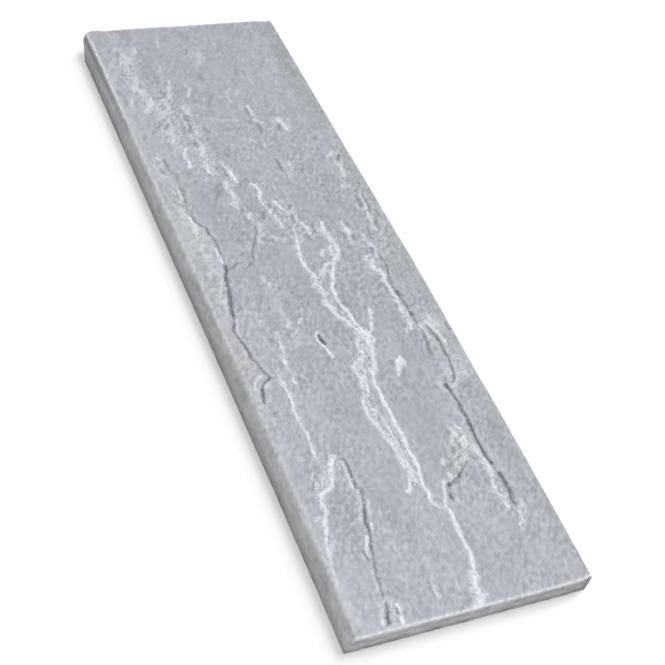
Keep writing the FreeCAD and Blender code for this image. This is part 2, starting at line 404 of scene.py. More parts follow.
    Strand(2.0, 0.87, [(286, 61), (293, 60), (299, 58)]),
    Strand(1.8, 0.6, [(249, 86), (258, 88)]),
    Strand(3.2, 0.8, [(262, 88), (270, 86), (275, 82)]),
    Strand(2.0, 0.6, [(283, 88), (287, 85)]),
    Strand(1.9, 0.95, [(295, 83), (304, 81), (312, 80)]),
    Strand(2.1, 0.51, [(322, 74), (326, 71)]),
    Strand(2.2, 0.51, [(292, 93), (299, 95)]),
    Strand(2.7, 0.6, [(333, 96), (344, 93)]),
    Strand(2.9, 0.74, [(350, 97), (361, 98)]),
    Strand(2.2, 0.69, [(369, 101), (371, 93), (374, 89)]),
    Strand(2.0, 0.55, [(378, 94), (384, 95)]),
    Strand(2.6, 0.5, [(416, 113), (424, 111)]),
    Strand(2.2, 0.45, [(429, 113), (434, 112)]),
    Strand(2.6, 0.42, [(439, 123), (443, 127)]),
    Strand(1.3, 0.5, [(443, 160), (448, 154)]),
    Strand(1.3, 0.5, [(449, 161), (456, 154)]),
    Strand(1.3, 0.5, [(456, 148), (462, 141)]),
    Strand(2.4, 0.6, [(434, 154), (440, 154)]),
    Strand(2.5, 0.69, [(394, 107), (401, 104)]),
    Strand(1.8, 0.55, [(405, 113), (414, 112), (421, 108)]),
    Strand(1.9, 0.64, [(424, 111), (433, 105), (443, 102)]),
    Strand(1.8, 0.51, [(444, 137), (450, 134)]),
    Strand(1.5, 0.51, [(391, 170), (396, 165), (401, 161)]),
    Strand(1.5, 0.51, [(404, 170), (410, 165), (415, 161)]),
    Strand(1.5, 0.46, [(396, 160), (403, 154)]),
    Strand(2.0, 0.6, [(430, 184), (438, 186)]),
    Strand(2.0, 0.69, [(474, 178), (480, 174)]),
    Strand(2.2, 0.46, [(255, 160), (262, 164)]),
    Strand(2.0, 0.51, [(266, 176), (272, 174)]),
    Strand(2.2, 0.6, [(304, 198), (312, 195)]),
    Strand(1.8, 0.41, [(310, 188), (325, 187), (347, 188)]),
    Strand(2.0, 0.46, [(323, 195), (327, 188)]),
    Strand(2.0, 0.69, [(428, 224), (436, 225)]),
    Strand(3.4, 1.0, [(440, 225), (451, 225)]),
    Strand(2.3, 0.8, [(454, 224), (461, 222)]),
    Strand(2.2, 0.65, [(463, 226), (466, 223)]),
    Strand(1.7, 0.55, [(439, 219), (445, 218)]),
    Strand(1.9, 0.46, [(405, 230), (410, 228)]),
    Strand(2.9, 0.55, [(505, 84), (511, 84)]),
    Strand(2.7, 0.6, [(515, 88), (520, 86)]),
    Strand(5.0, 0.29, [(524, 85), (550, 84), (576, 88)]),
    Strand(3.1, 0.74, [(582, 89), (587, 85)]),
    Strand(2.0, 0.69, [(578, 107), (584, 101)]),
    Strand(1.9, 0.46, [(596, 94), (601, 87)]),
    Strand(1.9, 0.41, [(605, 95), (611, 86)]),
    Strand(3.4, 0.37, [(614, 92), (620, 83)]),
    Strand(1.8, 0.41, [(572, 54), (580, 52)]),
    Strand(2.5, 1.0, [(669, 47), (673, 47)]),
    Strand(2.5, 1.0, [(685, 48), (691, 47)]),
    # Flecks of the right margin
    Strand(2.1, 0.72, [(320, 264), (328, 266), (337, 267), (346, 263)]),
    Strand(1.7, 0.5, [(354, 262), (360, 257), (365, 252)]),
    Strand(2.1, 0.59, [(296, 267), (300, 260), (305, 255)]),
    Strand(1.7, 0.68, [(383, 271), (400, 270), (415, 267), (430, 265), (449, 265)]),
    Strand(1.9, 0.45, [(399, 258), (405, 259)]),
    Strand(1.5, 0.45, [(380, 279), (388, 277)]),
    # Flecks of the near half
    Strand(1.9, 0.55, [(962, 106), (968, 104), (975, 105)]),
    Strand(1.6, 0.4, [(951, 109), (957, 106)]),
    Strand(1.5, 0.4, [(943, 133), (957, 132)]),
    Strand(1.5, 0.45, [(962, 133), (975, 132)]),
    Strand(1.5, 0.45, [(774, 29), (778, 27)]),
    Strand(1.4, 0.4, [(917, 186), (921, 182)]),
    Strand(1.5, 0.4, [(970, 270), (976, 266)]),
    Strand(1.3, 0.4, [(826, 62), (832, 58)]),
]

# Clefts and gaps, where one layer of the stone ends against the next; their dark colour is painted shade
CLEFTS = [
    # Left-hand cleft with its hook
    Strand(1.2, 0.65, [(280, 28), (290, 28), (300, 29)]),
    Strand(1.4, 0.55, [(310, 36), (318, 34)]),
    Strand(1.5, 0.8, [(333, 32), (341, 34)]),
    Strand(1.3, 0.7, [(345, 33), (354, 32)]),
    Strand(1.4, 0.8, [(356, 31), (363, 31)]),
    Strand(1.5, 0.55, [(282, 20), (285, 17)]),
    Strand(1.5, 0.55, [(299, 22), (303, 19)]),
    Strand(1.0, 0.5, [(366, 30), (376, 28)]),
    Strand(1.2, 0.85, [(385, 30), (395, 32), (403, 36), (407, 39)]),
    Strand(1.3, 0.9, [(410, 42), (420, 42), (427, 45)]),
    Strand(1.0, 0.75, [(432, 45), (445, 46), (457, 45), (470, 45)]),
    Strand(1.5, 1.25, [(478, 44), (487, 42), (496, 37), (504, 37), (509, 35), (514, 36), (517, 34)]),
    Strand(1.5, 1.25, [(517, 34), (526, 33), (534, 30), (541, 28), (549, 26), (558, 24)]),
    Strand(1.1, 0.9, [(558, 24), (567, 22), (573, 20), (577, 17), (586, 16), (593, 18), (601, 20)]),
    Strand(1.2, 0.95, [(601, 20), (608, 22), (619, 23), (627, 22)]),
    Strand(1.1, 0.9, [(630, 26), (638, 28), (645, 30), (652, 33), (659, 36)]),
    Strand(1.1, 0.9, [(659, 36), (662, 29), (666, 23), (672, 19)]),
    Strand(1.4, 1.25, [(672, 19), (679, 16), (685, 15), (690, 13)]),
    Strand(1.1, 0.55, [(338, 25), (348, 24)]),
    # Thin broken branch of the left-hand cleft
    Strand(0.9, 0.55, [(484, 46), (482, 52)]),
    Strand(1.2, 0.7, [(475, 61), (479, 56)]),
    Strand(1.1, 0.7, [(478, 78), (482, 74), (486, 70)]),
    Strand(1.1, 0.65, [(460, 75), (463, 71)]),
    Strand(1.0, 0.75, [(473, 83), (466, 84), (458, 87), (450, 92), (441, 97)]),
    Strand(1.2, 0.85, [(441, 98), (433, 99)]),
    Strand(1.2, 0.85, [(432, 103), (425, 104), (417, 106)]),
    Strand(1.2, 0.7, [(408, 113), (403, 115)]),
    Strand(1.2, 0.8, [(406, 122), (400, 124), (394, 126)]),
    # Right-hand cleft
    Strand(1.0, 0.75, [(494, 251), (502, 252), (515, 252), (522, 250)]),
    Strand(1.0, 0.8, [(522, 250), (532, 247), (542, 246), (551, 245)]),
    Strand(1.4, 1.25, [(557, 246), (565, 247)]),
    Strand(1.0, 0.85, [(565, 247), (575, 249), (589, 249)]),
    Strand(1.4, 1.25, [(594, 249), (601, 249)]),
    Strand(1.0, 0.7, [(601, 249), (612, 250)]),
    Strand(1.3, 0.8, [(630, 251), (635, 250), (641, 250)]),
    Strand(1.4, 0.85, [(644, 250), (653, 247), (664, 246)]),
    # Loop round its raised flake
    Strand(1.1, 0.8, [(621, 260), (629, 262), (636, 264)]),
    Strand(1.2, 0.95, [(636, 264), (645, 265), (657, 265), (667, 264), (676, 265)]),
    Strand(1.1, 0.85, [(676, 265), (688, 263), (697, 261), (705, 258), (710, 254)]),
    Strand(1.2, 0.65, [(703, 247), (710, 247)]),
    Strand(1.0, 0.45, [(690, 247), (695, 246)]),
    Strand(1.5, 1.4, [(713, 242), (721, 244)]),
    # Near length of the right-hand cleft
    Strand(1.3, 1.0, [(728, 245), (742, 246), (754, 245), (760, 246), (767, 245)]),
    Strand(1.3, 1.25, [(767, 245), (776, 245), (784, 244), (795, 243), (808, 243), (821, 243), (833, 245)]),
    Strand(1.0, 0.6, [(833, 245), (845, 247)]),
    Strand(1.3, 1.25, [(845, 247), (854, 249), (867, 249), (875, 248)]),
    Strand(1.5, 1.25, [(875, 248), (880, 245), (888, 246)]),
    # Foot of the rough hollow and gaps in it, darkened with painted shade
    Strand(1.9, 1.3, [(850, 179), (846, 183)]),
    Strand(1.5, 0.95, [(846, 183), (843, 191), (839, 198), (834, 204)]),
    Strand(1.2, 0.6, [(834, 204), (830, 208), (824, 215)]),
    Strand(1.6, 1.1, [(859, 176), (865, 176)]),
    Strand(1.4, 0.5, [(851, 179), (857, 177)]),
    Strand(2.2, 0.45, [(850, 178), (858, 177)]),
    Strand(1.2, 0.5, [(799, 208), (811, 207)]),
    Strand(1.3, 0.45, [(803, 219), (808, 217)]),
    Strand(1.1, 0.55, [(816, 224), (821, 229)]),
    Strand(1.2, 0.5, [(790, 217), (794, 215)]),
    Strand(1.2, 0.45, [(780, 214), (784, 210)]),
    Strand(1.3, 0.5, [(822, 196), (827, 192)]),
    # Near left crack
    Strand(1.0, 0.6, [(785, 69), (787, 75)]),
    Strand(1.1, 0.85, [(787, 76), (798, 76), (811, 75)]),
    Strand(1.1, 0.9, [(816, 75), (826, 74)]),
    Strand(1.1, 0.85, [(830, 78), (839, 76), (849, 74)]),
    Strand(1.1, 1.05, [(849, 74), (854, 71), (862, 69), (869, 66), (879, 66)]),
    Strand(1.0, 0.9, [(879, 66), (885, 64), (894, 62), (899, 59)]),
    Strand(1.2, 1.05, [(899, 59), (906, 58)]),
    Strand(1.0, 0.7, [(906, 58), (916, 55), (925, 53), (935, 50), (944, 49), (953, 48), (961, 47)]),
    Strand(1.2, 0.8, [(904, 48), (916, 50)]),
    Strand(1.2, 0.85, [(969, 46), (978, 45)]),
    Strand(1.6, 1.25, [(978, 44), (984, 41), (991, 40)]),
    Strand(1.3, 0.8, [(977, 55), (983, 54)]),
    # Short deep notch
    Strand(1.3, 1.6, [(609, 118), (615, 118), (622, 120)]),
    # Gaps of the far quarter
    Strand(1.8, 0.66, [(135, 8), (142, 7)]),
    Strand(1.5, 0.49, [(147, 12), (158, 11), (168, 10)]),
    Strand(1.6, 0.57, [(230, 18), (236, 14)]),
    Strand(1.6, 0.53, [(76, 26), (81, 24)]),
    Strand(1.8, 0.57, [(162, 26), (167, 24)]),
    Strand(1.8, 0.57, [(55, 33), (63, 30)]),
    Strand(1.6, 0.49, [(84, 42), (88, 41)]),
    Strand(1.8, 0.57, [(127, 44), (130, 43)]),
    Strand(1.8, 0.53, [(58, 48), (63, 46)]),
    Strand(1.6, 0.61, [(202, 52), (210, 45), (216, 40)]),
    Strand(1.6, 0.61, [(209, 58), (214, 53), (220, 49)]),
    Strand(1.5, 0.53, [(222, 37), (228, 31)]),
    Strand(1.6, 0.57, [(176, 61), (182, 58)]),
    Strand(1.6, 0.49, [(155, 59), (160, 57)]),
    Strand(1.9, 0.53, [(148, 70), (155, 68)]),
    Strand(1.6, 0.49, [(214, 76), (226, 75)]),
    Strand(2.2, 0.86, [(199, 86), (204, 84)]),
    Strand(1.5, 0.66, [(214, 85), (222, 84), (231, 81)]),
    Strand(1.6, 0.57, [(187, 85), (193, 85)]),
    Strand(2.2, 0.7, [(252, 80), (256, 79)]),
    Strand(1.9, 0.49, [(225, 104), (234, 107)]),
    Strand(1.6, 0.45, [(57, 133), (66, 129)]),
    Strand(1.8, 0.49, [(112, 135), (128, 133)]),
    Strand(1.8, 0.49, [(252, 137), (257, 134)]),
    Strand(1.5, 0.61, [(192, 176), (204, 175)]),
    Strand(1.6, 0.53, [(212, 176), (220, 171)]),
    Strand(2.2, 0.57, [(228, 182), (240, 181)]),
    Strand(1.8, 0.49, [(110, 190), (120, 190)]),
    Strand(1.8, 0.49, [(112, 201), (120, 200)]),
    Strand(1.9, 0.49, [(130, 178), (142, 180)]),
    Strand(2.5, 0.7, [(231, 211), (243, 209)]),
    # Gaps of the middle
    Strand(1.5, 0.63, [(335, 87), (340, 81), (345, 76)]),
    Strand(1.4, 0.54, [(345, 86), (350, 81), (356, 76), (362, 72)]),
    Strand(1.5, 0.63, [(306, 101), (313, 101), (321, 102)]),
    Strand(1.6, 0.59, [(300, 97), (306, 93)]),
    Strand(1.8, 0.63, [(300, 181), (310, 180), (320, 181)]),
    Strand(1.6, 0.59, [(388, 166), (394, 163)]),
    Strand(1.6, 0.59, [(405, 162), (413, 159)]),
    Strand(1.6, 0.54, [(360, 165), (368, 164)]),
    Strand(1.7, 0.72, [(430, 182), (440, 181)]),
    Strand(1.5, 0.5, [(438, 135), (441, 134)]),
    Strand(1.5, 0.55, [(450, 143), (455, 143)]),
    Strand(1.5, 0.5, [(438, 159), (441, 158)]),
    Strand(1.6, 0.45, [(446, 170), (452, 169)]),
    Strand(2.0, 0.72, [(446, 216), (455, 219)]),
    Strand(1.8, 0.77, [(455, 230), (462, 227)]),
    Strand(1.6, 0.54, [(428, 229), (435, 230)]),
    Strand(1.6, 0.59, [(445, 254), (455, 254), (462, 253)]),
    Strand(1.6, 0.63, [(482, 245), (489, 242)]),
    Strand(1.6, 0.59, [(605, 59), (610, 56)]),
    Strand(1.5, 0.5, [(637, 55), (641, 54)]),
    Strand(1.6, 0.54, [(664, 70), (668, 68)]),
    Strand(1.6, 0.63, [(707, 22), (710, 19)]),
    Strand(2.0, 0.68, [(664, 192), (668, 190)]),
    Strand(2.0, 0.63, [(682, 199), (687, 197)]),
    Strand(1.7, 0.54, [(659, 209), (664, 209)]),
    Strand(2.3, 0.54, [(687, 219), (690, 218)]),
    # Gaps of the right margin
    Strand(1.2, 0.75, [(384, 264), (395, 264), (405, 262)]),
    Strand(1.4, 0.7, [(381, 274), (394, 274), (408, 273)]),
    Strand(1.2, 0.5, [(413, 272), (422, 272)]),
    Strand(1.4, 0.75, [(437, 271), (448, 270)]),
    Strand(1.4, 0.65, [(415, 281), (425, 280)]),
    Strand(1.4, 0.7, [(305, 272), (312, 268)]),
    Strand(1.4, 0.65, [(262, 254), (266, 252)]),
    Strand(1.4, 0.7, [(618, 286), (630, 286)]),
    # Gaps of the near half
    Strand(1.2, 0.6, [(808, 30), (812, 27), (816, 24)]),
    Strand(1.2, 0.5, [(801, 34), (806, 36)]),
    Strand(1.2, 0.5, [(957, 102), (972, 101)]),
    Strand(1.4, 0.35, [(829, 113), (841, 113)]),
    Strand(1.4, 0.35, [(895, 97), (904, 96)]),
]

# Broad bands of white crumbs beside and between the veins
FROTH = [
    Strand(18, 0.4, [(60, 40), (90, 36), (135, 38), (180, 44)]),
    Strand(18, 0.5, [(150, 72), (190, 60), (240, 56)]),
    Strand(16, 0.6, [(180, 88), (250, 86), (310, 82)]),
    Strand(12, 0.45, [(292, 98), (330, 106), (375, 96)]),
    Strand(10, 0.45, [(338, 130), (380, 134), (420, 142)]),
    Strand(14, 0.5, [(378, 152), (410, 158), (442, 172)]),
    Strand(7, 0.5, [(425, 154), (480, 146), (518, 149)]),
    Strand(8, 0.35, [(424, 196), (470, 196), (496, 182), (525, 170)]),
    Strand(11, 0.85, [(512, 152), (560, 150), (604, 166)]),
    Strand(11, 0.9, [(606, 172), (630, 168), (672, 164)]),
    Strand(9, 0.8, [(652, 150), (690, 145), (706, 140)]),
    Strand(10, 0.8, [(708, 138), (740, 138), (780, 144), (835, 144)]),
    Strand(4, 0.25, [(672, 160), (755, 156), (835, 152), (874, 164), (915, 164), (960, 157)]),
    Strand(8, 0.6, [(860, 158), (878, 166)]),
    Strand(8, 0.8, [(962, 154), (998, 146)]),
    Strand(8, 0.45, [(600, 68), (640, 62), (672, 61)]),
    Strand(6, 0.45, [(655, 47), (740, 46), (805, 46)]),
    Strand(12, 0.7, [(784, 62), (808, 46), (816, 34)]),
    Strand(8, 0.6, [(822, 40), (834, 28), (860, 20), (910, 7)]),
    Strand(14, 0.4, [(285, 16), (335, 24), (390, 22), (405, 28)]),
    Strand(18, 0.35, [(405, 24), (470, 28), (530, 18)]),
    Strand(9, 0.75, [(494, 234), (520, 238), (618, 241)]),
    Strand(7, 0.4, [(720, 241), (780, 239)]),
    Strand(13, 0.8, [(774, 224), (800, 224), (826, 206)]),
    Strand(9, 0.7, [(800, 234), (850, 238), (890, 237)]),
    Strand(8, 0.6, [(888, 254), (920, 242)]),
    Strand(12, 0.45, [(606, 268), (640, 274), (700, 272)]),
    Strand(7, 0.6, [(580, 197), (612, 187)]),
    Strand(7, 0.7, [(662, 202), (680, 196)]),
    Strand(8, 0.5, [(428, 224), (466, 224)]),
    Strand(12, 0.35, [(300, 192), (345, 190)]),
    Strand(14, 0.4, [(300, 268), (365, 260)]),
    Strand(12, 0.45, [(380, 270), (455, 268)]),
    Strand(5, 0.5, [(785, 72), (830, 74), (900, 56), (960, 46)]),
    Strand(9, 0.6, [(968, 44), (996, 44)]),
    Strand(8, 0.45, [(396, 112), (442, 104)]),
]

# Soft areas that are lighter than the rest
PALE = [
    Strand(18, 0.4, [(70, 42), (95, 38), (150, 40)]),
    Strand(55, 0.25, [(60, 165), (200, 160)]),
    Strand(55, 0.45, [(220, 158), (330, 155), (500, 162)]),
    Strand(34, 0.75, [(300, 155), (345, 160)]),
    Strand(16, 0.45, [(560, 38), (590, 38), (640, 42)]),
    Strand(14, 0.45, [(715, 12), (760, 12)]),
    Strand(14, 0.45, [(815, 12), (845, 12)]),
    Strand(14, 1.0, [(855, 11), (890, 12)]),
    Strand(24, 0.5, [(860, 207), (930, 207)]),
    Strand(16, 0.5, [(160, 46), (240, 54), (300, 62)]),
    Strand(18, 0.6, [(68, 147), (90, 144)]),
    Strand(12, 0.45, [(208, 105), (213, 190)]),
    Strand(16, 0.9, [(224, 212), (238, 222)]),
    Strand(14, 0.5, [(265, 86), (310, 82)]),
    Strand(14, 0.5, [(308, 192), (330, 192)]),
    Strand(24, 1.2, [(385, 14), (420, 24), (475, 32)]),
    Strand(14, 0.5, [(540, 8), (620, 10), (690, 8)]),
    Strand(12, 0.5, [(355, 97), (372, 96)]),
    Strand(14, 0.5, [(330, 264), (350, 262)]),
    Strand(18, 0.9, [(500, 236), (524, 236)]),
    Strand(16, 1.1, [(612, 268), (628, 273)]),
    Strand(16, 1.2, [(686, 273), (700, 268)]),
    Strand(18, 0.5, [(640, 50), (720, 48), (800, 50)]),
    Strand(22, 0.6, [(850, 14), (920, 24), (1000, 24)]),
    Strand(18, 0.5, [(975, 26), (1000, 30)]),
    Strand(130, 0.25, [(740, 150), (960, 150)]),
    Strand(12, 0.7, [(778, 226), (800, 222)]),
    Strand(10, 0.8, [(655, 255), (685, 254), (705, 252)]),
    # Pale worn strip along the left edge
    Strand(8, 0.7, [(80, 7), (220, 7)]),
    Strand(11, 0.5, [(270, 8), (340, 8)]),
    Strand(11, 0.8, [(360, 8), (440, 8)]),
    Strand(12, 0.9, [(860, 9), (990, 11)]),
    Strand(8, 2.0, [(925, 5), (985, 7)]),
    Strand(5, 0.9, [(0, 1), (250, 1), (500, 2)]),
    Strand(8, 1.0, [(500, 1), (750, 2), (1000, 2)]),
]

# Soft areas that are darker than the rest
SHADE = [
    Strand(40, 0.6, [(20, 80), (20, 200), (60, 240)]),
    # Thin strips along the far edge: painted shade where the edge rounds over
    Strand(7, 1.1, [(2, 8), (2, 50)]),
    Strand(9, 0.9, [(3, 190), (3, 275)]),
    Strand(36, 1.2, [(0, 276), (120, 278), (225, 274)]),
    Strand(130, 0.8, [(60, 150), (260, 160), (540, 150)]),
    Strand(18, 0.9, [(20, 84), (100, 66), (150, 62)]),
    Strand(40, 0.5, [(120, 110), (180, 130), (170, 200)]),
    Strand(18, 0.8, [(245, 105), (245, 205)]),
    Strand(30, 1.0, [(350, 64), (390, 62), (430, 80)]),
    Strand(12, 0.9, [(345, 120), (400, 119)]),
    Strand(40, 0.6, [(270, 130), (350, 165), (370, 210)]),
    Strand(30, 0.8, [(350, 235), (380, 225), (425, 240)]),
    Strand(14, 1.0, [(480, 48), (520, 40), (550, 32)]),
    Strand(24, 0.7, [(470, 110), (560, 104)]),
    Strand(14, 0.8, [(480, 74), (580, 70)]),
    Strand(15, 1.0, [(600, 140), (622, 150)]),
    Strand(12, 0.9, [(540, 224), (620, 222)]),
    Strand(50, 0.3, [(470, 215), (640, 225)]),
    Strand(24, 0.9, [(640, 220), (720, 205)]),
    Strand(14, 0.6, [(640, 246), (662, 244)]),
    Strand(20, 0.8, [(720, 272), (840, 274)]),
    Strand(30, 0.7, [(700, 190), (780, 185), (850, 205)]),
    Strand(30, 0.6, [(640, 95), (760, 92), (880, 100)]),
    Strand(18, 0.6, [(640, 116), (760, 112), (830, 118)]),
    Strand(12, 0.8, [(855, 246), (885, 249)]),
    Strand(18, 0.6, [(820, 50), (870, 48)]),
    Strand(20, 0.6, [(450, 286), (600, 282)]),
    Strand(16, 0.6, [(480, 265), (590, 266)]),
    Strand(30, 0.4, [(920, 180), (960, 190)]),
    Strand(16, 0.35, [(20, 14), (130, 14)]),
    Strand(22, 0.35, [(200, 70), (280, 70)]),
    Strand(22, 1.0, [(8, 238), (40, 238)]),
    Strand(20, 0.35, [(60, 238), (130, 238)]),
    Strand(18, 0.6, [(312, 34), (336, 36)]),
    Strand(24, 0.9, [(312, 274), (390, 274)]),
    Strand(18, 0.45, [(400, 276), (490, 276)]),
    Strand(14, 0.5, [(605, 280), (640, 280)]),
    Strand(16, 0.6, [(850, 278), (900, 280)]),
    Strand(20, 0.7, [(425, 238), (560, 240), (690, 238)]),
    Strand(34, 0.45, [(655, 185), (690, 182)]),
    Strand(34, 0.85, [(725, 176), (770, 200)]),
    Strand(20, 0.5, [(655, 135), (700, 132)]),
]

# Areas stained a little green by damp
OLIVE = [
    Strand(34, 1.0, [(315, 44), (345, 34), (400, 18), (520, 12)]),
    Strand(14, 0.8, [(180, 2), (500, 2), (750, 4)]),
    Strand(18, 0.8, [(750, 2), (1000, 2)]),
    Strand(36, 0.9, [(0, 250), (40, 280), (240, 284)]),
    Strand(14, 0.6, [(2, 180), (2, 250)]),
    Strand(26, 0.8, [(240, 288), (350, 268), (420, 282), (520, 262)]),
    Strand(22, 0.7, [(520, 286), (640, 282), (650, 256)]),
    Strand(16, 0.6, [(650, 256), (690, 268)]),
    Strand(14, 0.5, [(740, 288), (1000, 288)]),
    Strand(26, 1.0, [(785, 234), (825, 204)]),
]

# Areas stained a little brown
WARM = [
    Strand(20, 1.0, [(2, 8), (4, 72)]),
    Strand(10, 0.24, [(150, 1), (178, 1)]),
    Strand(12, 0.3, [(342, 1), (366, 2)]),
    Strand(18, 0.8, [(580, 6), (642, 8)]),
    Strand(16, 0.24, [(152, 272), (180, 272)]),
    Strand(12, 0.3, [(342, 286), (368, 288)]),
    Strand(14, 0.3, [(506, 286), (542, 284)]),
    Strand(10, 0.3, [(882, 288), (906, 288)]),
    Strand(10, 0.24, [(998, 96), (998, 130)]),
    Strand(14, 0.36, [(998, 236), (996, 286)]),
]

# Areas split rougher than the rest
ROUGH = [
    Strand(50, 0.9, [(140, 70), (230, 60), (300, 70)]),
    Strand(45, 0.6, [(60, 40), (140, 30)]),
    Strand(60, 0.8, [(250, 150), (300, 115), (390, 115)]),
    Strand(50, 0.8, [(230, 190), (310, 205), (370, 230)]),
    Strand(36, 0.8, [(255, 255), (310, 265)]),
    Strand(30, 0.8, [(290, 276), (440, 276), (500, 262)]),
    Strand(30, 0.3, [(0, 280), (200, 284)]),
    Strand(34, 0.8, [(370, 140), (420, 160), (450, 215)]),
    Strand(30, 0.6, [(280, 20), (400, 24), (500, 32)]),
    Strand(24, 0.7, [(500, 30), (600, 20), (690, 20)]),
    Strand(30, 0.5, [(440, 110), (480, 70)]),
    Strand(24, 0.7, [(480, 244), (620, 250), (720, 262), (900, 246)]),
    Strand(26, 1.0, [(780, 226), (840, 196)]),
    Strand(22, 0.7, [(780, 74), (900, 54), (995, 44)]),
    Strand(24, 0.6, [(520, 154), (620, 174), (700, 148), (850, 148)]),
    Strand(26, 0.6, [(600, 62), (800, 46), (860, 20)]),
    Strand(40, 0.55, [(900, 120), (1000, 110)]),
    Strand(30, 0.4, [(960, 220), (1000, 260)]),
]

# Steps of the riven face: height in millimetres of the layer that ends along the route, and the route.
# The higher layer lies to the right of the route when it is followed from the far end.
Ledge = namedtuple("Ledge", "height route")
LEDGES = [
    Ledge(0.6, [(327, 31), (367, 27), (413, 43), (464, 44), (505, 35), (571, 19), (619, 23), (658, 36)]),
    Ledge(0.7, [(491, 252), (541, 249), (583, 252), (621, 260), (668, 269), (709, 260), (755, 248),
                (807, 245), (863, 251), (886, 248)]),
    Ledge(0.5, [(784, 76), (826, 77), (872, 67), (915, 55), (961, 45), (989, 41)]),
]


def smooth_step(low_edge, high_edge, value):
    """0 below the low edge, 1 above the high edge and a smooth rise between."""
    share = np.clip((value - low_edge) / (high_edge - low_edge), 0, 1)
    return share * share * (3 - 2 * share)


def cloud_noise(*columns, octaves):
    """Cloud noise, about -1 to 1, at coordinates already divided by their wavelengths."""
    points = np.column_stack(np.broadcast_arrays(*columns)).tolist()
    return np.array([noise.fractal(point, CLOUD_FADE, CLOUD_FINENESS, octaves) for point in points])


def read_table(table, where):
    """Values of a table of (place, value) points, straight between them."""
    places, values = zip(*table)
    return np.interp(where, places, values)


def groove_outline(centre):
    """Half-round drip groove in the bed, as (across, up) points from its left lip to its right lip."""
    radius = GROOVE_WIDTH / 2
    spring = GROOVE_DEPTH - radius
    points = [(centre - radius, 0)]
    for step in range(CROWN_STEPS + 1):
        turn = math.pi * (1 - step / CROWN_STEPS)
        points.append((centre + radius * math.cos(turn), spring + radius * math.sin(turn)))
    points.append((centre + radius, 0))
    return points


def slab_section():
    """Outline of the slab across the wall."""
    groove = HALF_WIDTH - GROOVE_MARGIN - GROOVE_WIDTH / 2
    bed = [(-HALF_WIDTH, 0), *groove_outline(-groove), *groove_outline(groove), (HALF_WIDTH, 0)]
    top = [(TOP_SIDE, THICKNESS), (-TOP_SIDE, THICKNESS)]
    return [*bed, (HALF_WIDTH, SHOULDER), *top, (-HALF_WIDTH, SHOULDER)]


def edges_where(bm, test):
    """Edges whose direction and middle pass the test."""
    chosen = []
    for edge in bm.edges:
        start, end = (vert.co for vert in edge.verts)
        if test(end - start, (start + end) / 2):
            chosen.append(edge)
    return chosen


def cut_edges(bm, test, cells):
    """Divide the chosen edges, and the faces between them, into equal cells."""
    edges = edges_where(bm, test)
    bmesh.ops.subdivide_edges(bm, edges=edges, cuts=cells - 1, use_grid_fill=True)


def cut_ends(bm):
    """Divide the flat of each end into cells that meet those of the top and the sides."""

    def end_faces():
        return [face for face in bm.faces if abs(abs(face.calc_center_median().x) - HALF_LENGTH) < SAME_PLANE]

    margin = 1.5 * END_ARRIS
    rim = [vert.co for face in end_faces() for vert in face.verts]
    columns = sorted({round(spot.y, 6) for spot in rim if spot.z > THICKNESS - margin})
    rows = sorted({round(spot.z, 6) for spot in rim if abs(spot.y) > HALF_WIDTH - margin})
    planes = [((0, y, 0), (0, 1, 0)) for y in columns[1:-1]]
    planes += [((0, 0, z), (0, 0, 1)) for z in rows[1:-1]]
    for point, normal in planes:
        faces = end_faces()
        edges = {edge for face in faces for edge in face.edges}
        verts = {vert for face in faces for vert in face.verts}
        geometry = [*faces, *edges, *verts]
        bmesh.ops.bisect_plane(bm, geom=geometry, dist=SAME_POINT, plane_co=point, plane_no=normal)


def plain_slab():
    """The slab with clean faces, divided finely enough to carve."""
    bm = bmesh.new()
    section = bm.faces.new([bm.verts.new((-HALF_LENGTH, y, z)) for y, z in slab_section()])
    grown = bmesh.ops.extrude_face_region(bm, geom=[section])
    near_end = [part for part in grown["geom"] if isinstance(part, bmesh.types.BMVert)]
    bmesh.ops.translate(bm, verts=near_end, vec=(LENGTH, 0, 0))
    bmesh.ops.recalc_face_normals(bm, faces=bm.faces)
    end_rims = edges_where(bm, lambda way, middle: abs(way.x) < MM and middle.z > GROOVE_DEPTH)
    bmesh.ops.bevel(bm, geom=end_rims, offset=END_ARRIS, offset_type="OFFSET", segments=END_ARRIS_STEPS,
                    profile=0.5, affect="EDGES", material=-1)
    cut_edges(bm, lambda way, middle: abs(way.y) > HALF_WIDTH and middle.z > SHOULDER, WIDTH_CELLS)
    cut_edges(bm, lambda way, middle: abs(way.z) > SHOULDER / 2 and abs(way.y) < MM, SIDE_ROWS)
    cut_edges(bm, lambda way, middle: abs(way.z) > ARRIS_DROP / 2 and middle.z > SHOULDER, ARRIS_ROWS)
    cut_ends(bm)
    cut_edges(bm, lambda way, middle: abs(way.x) > HALF_LENGTH, LENGTH_CELLS)
    return bm


# What a place finds at the nearest point of a family of strands
Nearest = namedtuple("Nearest", "way gap half_width strength")


def nearest_strand(places, strands):
    """Nearest point of any strand: the way to it, the gap, and that strand's half width and strength."""
    count = len(places)
    way = np.full((count, 2), FAR_AWAY)
    gap = np.full(count, FAR_AWAY)
    half_width = np.ones(count)
    strength = np.zeros(count)
    for strand in strands:
        route = np.array(strand.route, float)
        for start, end in zip(route[:-1], route[1:]):
            run = end - start
            share = np.clip((places - start) @ run / (run @ run), 0, 1)
            offset = start + share[:, None] * run - places
            distance = np.hypot(offset[:, 0], offset[:, 1])
            nearer = distance < gap
            way[nearer] = offset[nearer]
            gap[nearer] = distance[nearer]
            half_width[nearer] = strand.half_width
            strength[nearer] = strand.strength
    return Nearest(way, gap, half_width, strength)


